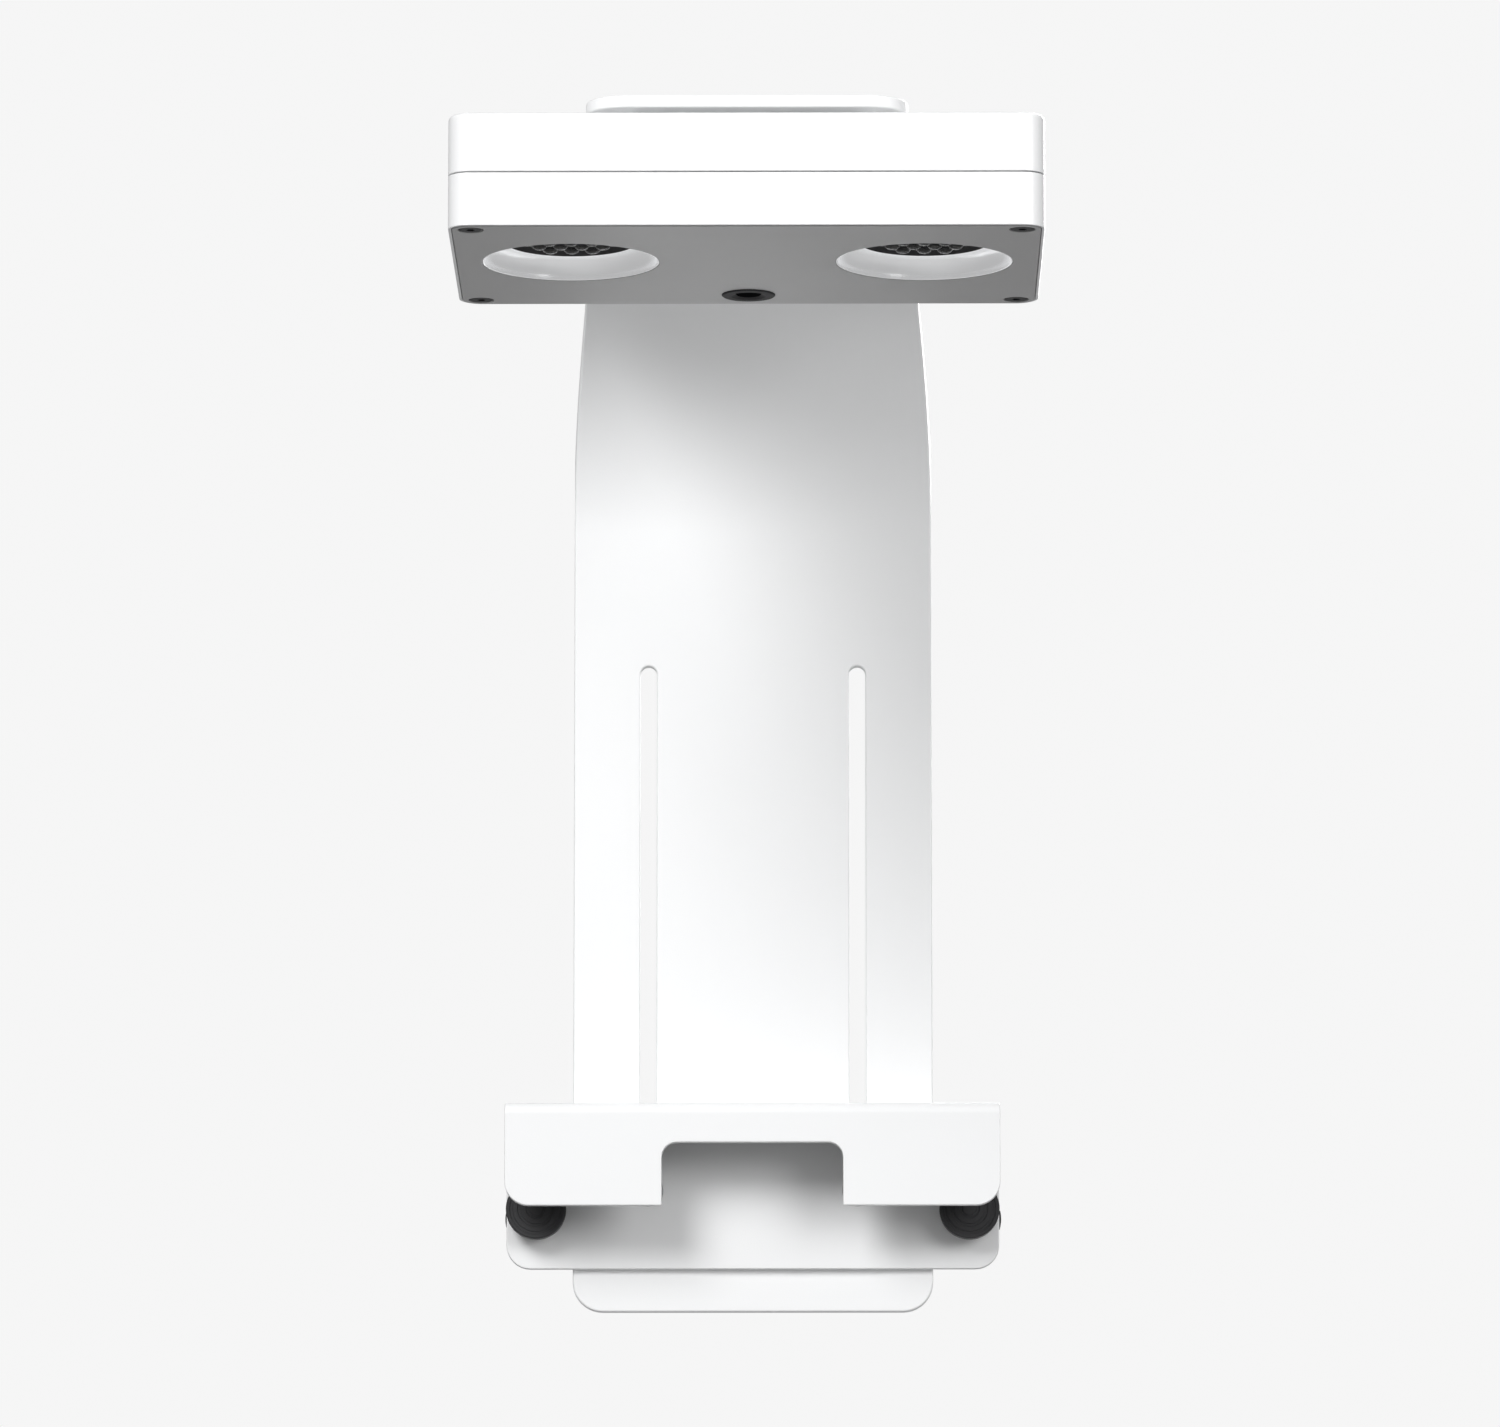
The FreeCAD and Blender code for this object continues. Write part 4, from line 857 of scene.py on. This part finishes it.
def ribbed_pad(low, high, axis, way, ribs, depth):
    """Rubber block with ribs along X. Its working face is across an axis, on the upper or lower side."""
    body = block(low, high)
    face = high[axis] if way > 0 else low[axis]
    pitch = (high.x - low.x) / (2 * ribs + 1)
    length_axis = 3 - axis
    grooves = []
    for i in range(ribs):
        first, last = Vector(low), Vector(high)
        first.x = low.x + (2 * i + 1) * pitch
        last.x = first.x + pitch * GROOVE_SHARE
        first[axis], last[axis] = sorted((face - way * depth, face + way * MM))
        first[length_axis] -= MM
        last[length_axis] += MM
        grooves.append(block(first, last))
    carve(body, grooves)
    return soften(body, 0.15 * MM, 2)


class AddPads(PieceOperator, Operator):
    """Rubber pads: ribbed strips on the rim and jaws, grooved discs on the clamp screws"""
    bl_idname = "aquarium_light.pads"
    bl_label = "Rubber Pads"

    def execute(self, context):
        s = context.scene.clamp_sizes
        low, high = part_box("rim_pad")
        ribbed_pad(low, high, 2, -1, 19, s.groove)
        dress(settle("rim_rubber"), "pad_rubber", "clamp", "rim_pad")
        low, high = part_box("inner_jaw_pads")
        left = ribbed_pad(low, Vector((-s.jaw_gap, high.y, high.z)), 1, 1, 7, s.groove)
        gather([left, copied(left, "right pad", (high.x + s.jaw_gap, 0, 0))])
        dress(settle("jaw_rubber"), "pad_rubber", "clamp", "inner_jaw_pads")
        low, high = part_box("pad_rubber_left")
        centre, radius, thick = (low + high) / 2, (high.x - low.x) / 2, high.y - low.y
        hole, edge = 0.6 * MM, 0.4 * MM
        profile = [(hole, 0)]
        for start in DISC_GROOVES:
            profile += [((start + out) * MM, deep * MM) for out, deep in GROOVE_SHAPE]
        profile += [(radius - edge, 0), (radius, edge), (radius, thick), (hole, thick)]
        turned(profile, (centre.x, low.y, centre.z), "Y", 64, closed=False)
        for side, piece in pair("clamp_rubber", "pad_rubber"):
            dress(piece, "pad_rubber", "pad_" + side, "pad_rubber_" + side)
        return {"FINISHED"}


def grip(centre, ends, radius, collar_radius, collar_length, bore, bore_end, flutes):
    """Moulded grip: a turned blank with a collar, its bore from the collar end, fluted and softened."""
    collar_y, back_y = ends
    edge, dish, pip = 1.4 * MM, 0.5 * MM, 0.5 * MM
    collar_edge = 0.4 * MM
    length, start, inner = back_y - collar_y, collar_length, bore_end - collar_y
    profile = [(bore, 0), (collar_radius - collar_edge, 0), (collar_radius, collar_edge)]
    profile += [(collar_radius, start), (radius - edge, start), (radius, start + edge)]
    profile += [(radius, length - edge), (radius - edge, length)]
    profile += [(radius * 0.55, length), (radius * 0.5, length - dish), (pip, length - dish)]
    profile += [(pip, inner), (bore, inner)]
    body = turned(profile, (centre.x, collar_y, centre.z), "Y")
    scoop = radius * 0.36
    away = radius + scoop * 0.55
    middle_y, through = (collar_y + collar_length + back_y) / 2, (length - collar_length) * 1.6
    cutters = []
    for i in range(flutes):
        turn = 2 * math.pi * (i + 0.5) / flutes
        place = (centre.x + away * math.cos(turn), middle_y, centre.z + away * math.sin(turn))
        cutters.append(post(place, scoop, through, "Y", 40))
    carve(body, cutters)
    return soften(body, 0.5 * MM, 3, 45.0)


class AddKnobs(PieceOperator, Operator):
    """Height knobs and clamp knobs: fluted grips on turned collars"""
    bl_idname = "aquarium_light.knobs"
    bl_label = "Knobs"

    def execute(self, context):
        s = context.scene.clamp_sizes
        low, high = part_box("height_knob_left")
        insert_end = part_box("knob_insert_left")[1].y + 0.4 * MM
        grip(centre_of("knob_insert_left"), (low.y, high.y), s.height_knob, s.height_collar,
             s.height_collar_length, s.insert, insert_end, s.grip_flutes)
        for side, piece in pair("height_grip", "knob_insert"):
            dress(piece, "knob_black", "knob_" + side, "height_knob_" + side)
        low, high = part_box("clamp_knob_left")
        screw_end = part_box("clamp_screw_left")[1].y
        grip(centre_of("clamp_screw_left"), (low.y, high.y), s.clamp_knob, s.clamp_collar,
             s.clamp_collar_length, s.thread_radius, screw_end, s.grip_flutes)
        for side, piece in pair("clamp_grip", "clamp_screw"):
            dress(piece, "knob_black", "screw_" + side, "clamp_knob_" + side)
        return {"FINISHED"}


THREAD_DEPTH = 0.55       # depth of a thread, as a share of its pitch
THREAD_SHAPE = ((0.15, 0), (0.44, 1), (0.56, 1), (0.85, 0))  # (share of the pitch, 1 at the crest)


class AddClampScrews(PieceOperator, Operator):
    """Clamp screws: threaded shafts with a turned tip that sits in the pressure disc"""
    bl_idname = "aquarium_light.clamp_screws"
    bl_label = "Clamp Screws"

    def execute(self, context):
        s = context.scene.clamp_sizes
        crest, pitch = s.thread_radius, s.thread_pitch
        root = crest - THREAD_DEPTH * pitch
        low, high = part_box("clamp_screw_left")
        centre, length = (low + high) / 2, high.y - low.y
        edge, neck, shank = 0.4 * MM, 2.5 * MM, 2.2 * MM
        profile = [(s.tip - edge, 0), (s.tip, edge), (s.tip, s.tip_length), (root, s.tip_length)]
        turns = int((length - s.tip_length - 3.0 * MM) / pitch)
        for i in range(turns):
            profile += [(crest if high_point else root, s.tip_length + (i + share) * pitch)
                        for share, high_point in THREAD_SHAPE]
        profile += [(root, length - neck), (crest, length - shank), (crest, length)]
        turned(profile, (centre.x, low.y, centre.z), "Y", 40, closed=False)
        for side, piece in pair("clamp_thread", "clamp_screw"):
            dress(piece, "steel", "screw_" + side, "clamp_screw_" + side)
        return {"FINISHED"}


class AddSpring(PieceOperator, Operator):
    """Return spring behind the button, copied from its node in its rest shape; it is not made to flatten when
    the button is pressed
    """
    bl_idname = "aquarium_light.spring"
    bl_label = "Button Spring"

    def execute(self, context):
        coil = bpy.data.objects.new("coil", frame["nodes"]["button_spring"].data.copy())
        context.scene.collection.objects.link(coil)
        take(coil)
        dress(settle("return_spring", 60.0), "steel", "lamp", "button_spring")
        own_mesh(coil)
        return {"FINISHED"}


# ---- carried-over nodes ----
class FinishFrameNodes(PieceOperator, Operator):
    """Gives every node that stays the finish of its record slot"""
    bl_idname = "aquarium_light.frame_finishes"
    bl_label = "Finish Frame Nodes"

    def execute(self, context):
        mats = finishes()
        slots = {p["node"]: p["material_slot"] for p in frame["record"]["subparts"]}
        for name, node in frame["nodes"].items():
            if slots[name] in mats:
                for place in node.material_slots:
                    place.material = mats[slots[name]]
        return {"FINISHED"}


# ---- stage ----
FLOOR_Z = -1.47           # a tank on its cabinet puts the rim this far above the floor
SURROUND, BACKDROP = 0.37, 0.92  # brightness of the surroundings as light, and as they are seen
LIGHT_SPREAD = 55.0
LIGHTS = (("key", (-1.2, -2.4, 1.5), 1.5, 7.4), ("fill", (1.7, -2.4, 0.7), 1.6, 3.8),
          ("rear", (0.8, 2.2, 1.1), 1.6, 6.0))  # (name, place, width, power)
LIGHTS_AIM = (0.0, -0.1, 0.12)
CAMERA_PLACE, CAMERA_LENS = (0.022, -3.493, -0.459), 255.0


def floor_finish(tone):
    """Pale floor that shows plain to the camera and lets a view from below through."""
    material = grain("Floor", tone, 0.7, 40.0, patch=2.0, shade=0.03, bump=0.02)
    nodes, link = material.node_tree.nodes, material.node_tree.links.new
    pale, clear = nodes.new("ShaderNodeEmission"), nodes.new("ShaderNodeBsdfTransparent")
    path, side = nodes.new("ShaderNodeLightPath"), nodes.new("ShaderNodeNewGeometry")
    seen, from_below = nodes.new("ShaderNodeMixShader"), nodes.new("ShaderNodeMixShader")
    link(nodes["Mix"].outputs["Result"], pale.inputs["Color"])
    link(path.outputs["Is Camera Ray"], seen.inputs[0])
    link(nodes["Principled BSDF"].outputs[0], seen.inputs[1])
    link(pale.outputs[0], seen.inputs[2])
    link(side.outputs["Backfacing"], from_below.inputs[0])
    link(seen.outputs[0], from_below.inputs[1])
    link(clear.outputs[0], from_below.inputs[2])
    link(from_below.outputs[0], nodes["Material Output"].inputs["Surface"])
    return material


def surroundings():
    """Plain world: one brightness as light, a paler one where the camera sees it."""
    world = bpy.data.worlds.new("Surroundings")
    world.use_nodes = True
    nodes, link = world.node_tree.nodes, world.node_tree.links.new
    light, seen = nodes["Background"], nodes.new("ShaderNodeBackground")
    light.inputs["Color"].default_value = (1, 1, 1, 1)
    light.inputs["Strength"].default_value = SURROUND
    seen.inputs["Color"].default_value = (BACKDROP, BACKDROP, BACKDROP, 1)
    path, mix = nodes.new("ShaderNodeLightPath"), nodes.new("ShaderNodeMixShader")
    link(path.outputs["Is Camera Ray"], mix.inputs[0])
    link(light.outputs[0], mix.inputs[1])
    link(seen.outputs[0], mix.inputs[2])
    link(mix.outputs[0], nodes["World Output"].inputs["Surface"])
    return world


def point_at(thing, place, aim):
    """Puts a light or the camera in its place, turned towards its aim."""
    bpy.context.scene.collection.objects.link(thing)
    thing.location = place
    thing.rotation_euler = (Vector(aim) - Vector(place)).to_track_quat("-Z", "Y").to_euler()


class AddStage(PieceOperator, Operator):
    """Pale floor at the foot of a tank's cabinet, soft lights, plain surroundings and the camera"""
    bl_idname = "aquarium_light.stage"
    bl_label = "Stage"

    def execute(self, context):
        scene = context.scene
        fresh()
        bpy.ops.mesh.primitive_plane_add(size=30.0, location=(0, 0, FLOOR_Z))
        apply_place()
        floor = context.object
        floor.name = "floor"
        floor.data.materials.append(floor_finish(tuple(scene.light_finishes.floor)))
        scene.world = surroundings()
        for name, place, width, power in LIGHTS:
            light = bpy.data.lights.new(name, "AREA")
            light.shape, light.size, light.energy = "DISK", width, power
            light.spread = math.radians(LIGHT_SPREAD)
            point_at(bpy.data.objects.new(name, light), place, LIGHTS_AIM)
        camera = bpy.data.cameras.new("camera")
        camera.lens, camera.sensor_width = CAMERA_LENS, 36.0
        camera.clip_start, camera.clip_end = 0.05, 60.0
        low, high = (Vector(corner) for corner in CAD_BOX)
        scene.camera = bpy.data.objects.new("camera", camera)
        point_at(scene.camera, CAMERA_PLACE, (low + high) / 2)
        scene.view_settings.view_transform = "Standard"
        return {"FINISHED"}


PIECES = (AddUpperHousing, AddLowerHousing, AddBottomPlate, AddReflectors, AddArm, AddBracket, AddPads,
          AddKnobs, AddClampScrews, AddSpring, FinishFrameNodes, AddStage)
GROUPS = {"head_sizes": HeadSizes, "arm_sizes": ArmSizes, "clamp_sizes": ClampSizes,
          "light_finishes": Finishes}


class AquariumLightPanel(Panel):
    """Lists the pieces of the light and their sizes"""
    bl_idname = "VIEW3D_PT_aquarium_light"
    bl_label = "Aquarium Light"
    bl_space_type = "VIEW_3D"
    bl_region_type = "UI"
    bl_category = "Aquarium Light"

    def draw(self, context):
        column = self.layout.column()
        for piece in PIECES:
            column.operator(piece.bl_idname)
        for name in GROUPS:
            sizes = getattr(context.scene, name)
            box = self.layout.box()
            for key in sizes.__annotations__:
                box.prop(sizes, key)


CLASSES = (*GROUPS.values(), *PIECES, AquariumLightPanel)


def register():
    for thing in CLASSES:
        bpy.utils.register_class(thing)
    for name, group in GROUPS.items():
        setattr(bpy.types.Scene, name, PointerProperty(type=group))


def unregister():
    for name in GROUPS:
        delattr(bpy.types.Scene, name)
    for thing in reversed(CLASSES):
        bpy.utils.unregister_class(thing)


def main():
    register()
    for piece in PIECES:
        group, name = piece.bl_idname.split(".")
        getattr(getattr(bpy.ops, group), name)()


if __name__ == "__main__":
    main()
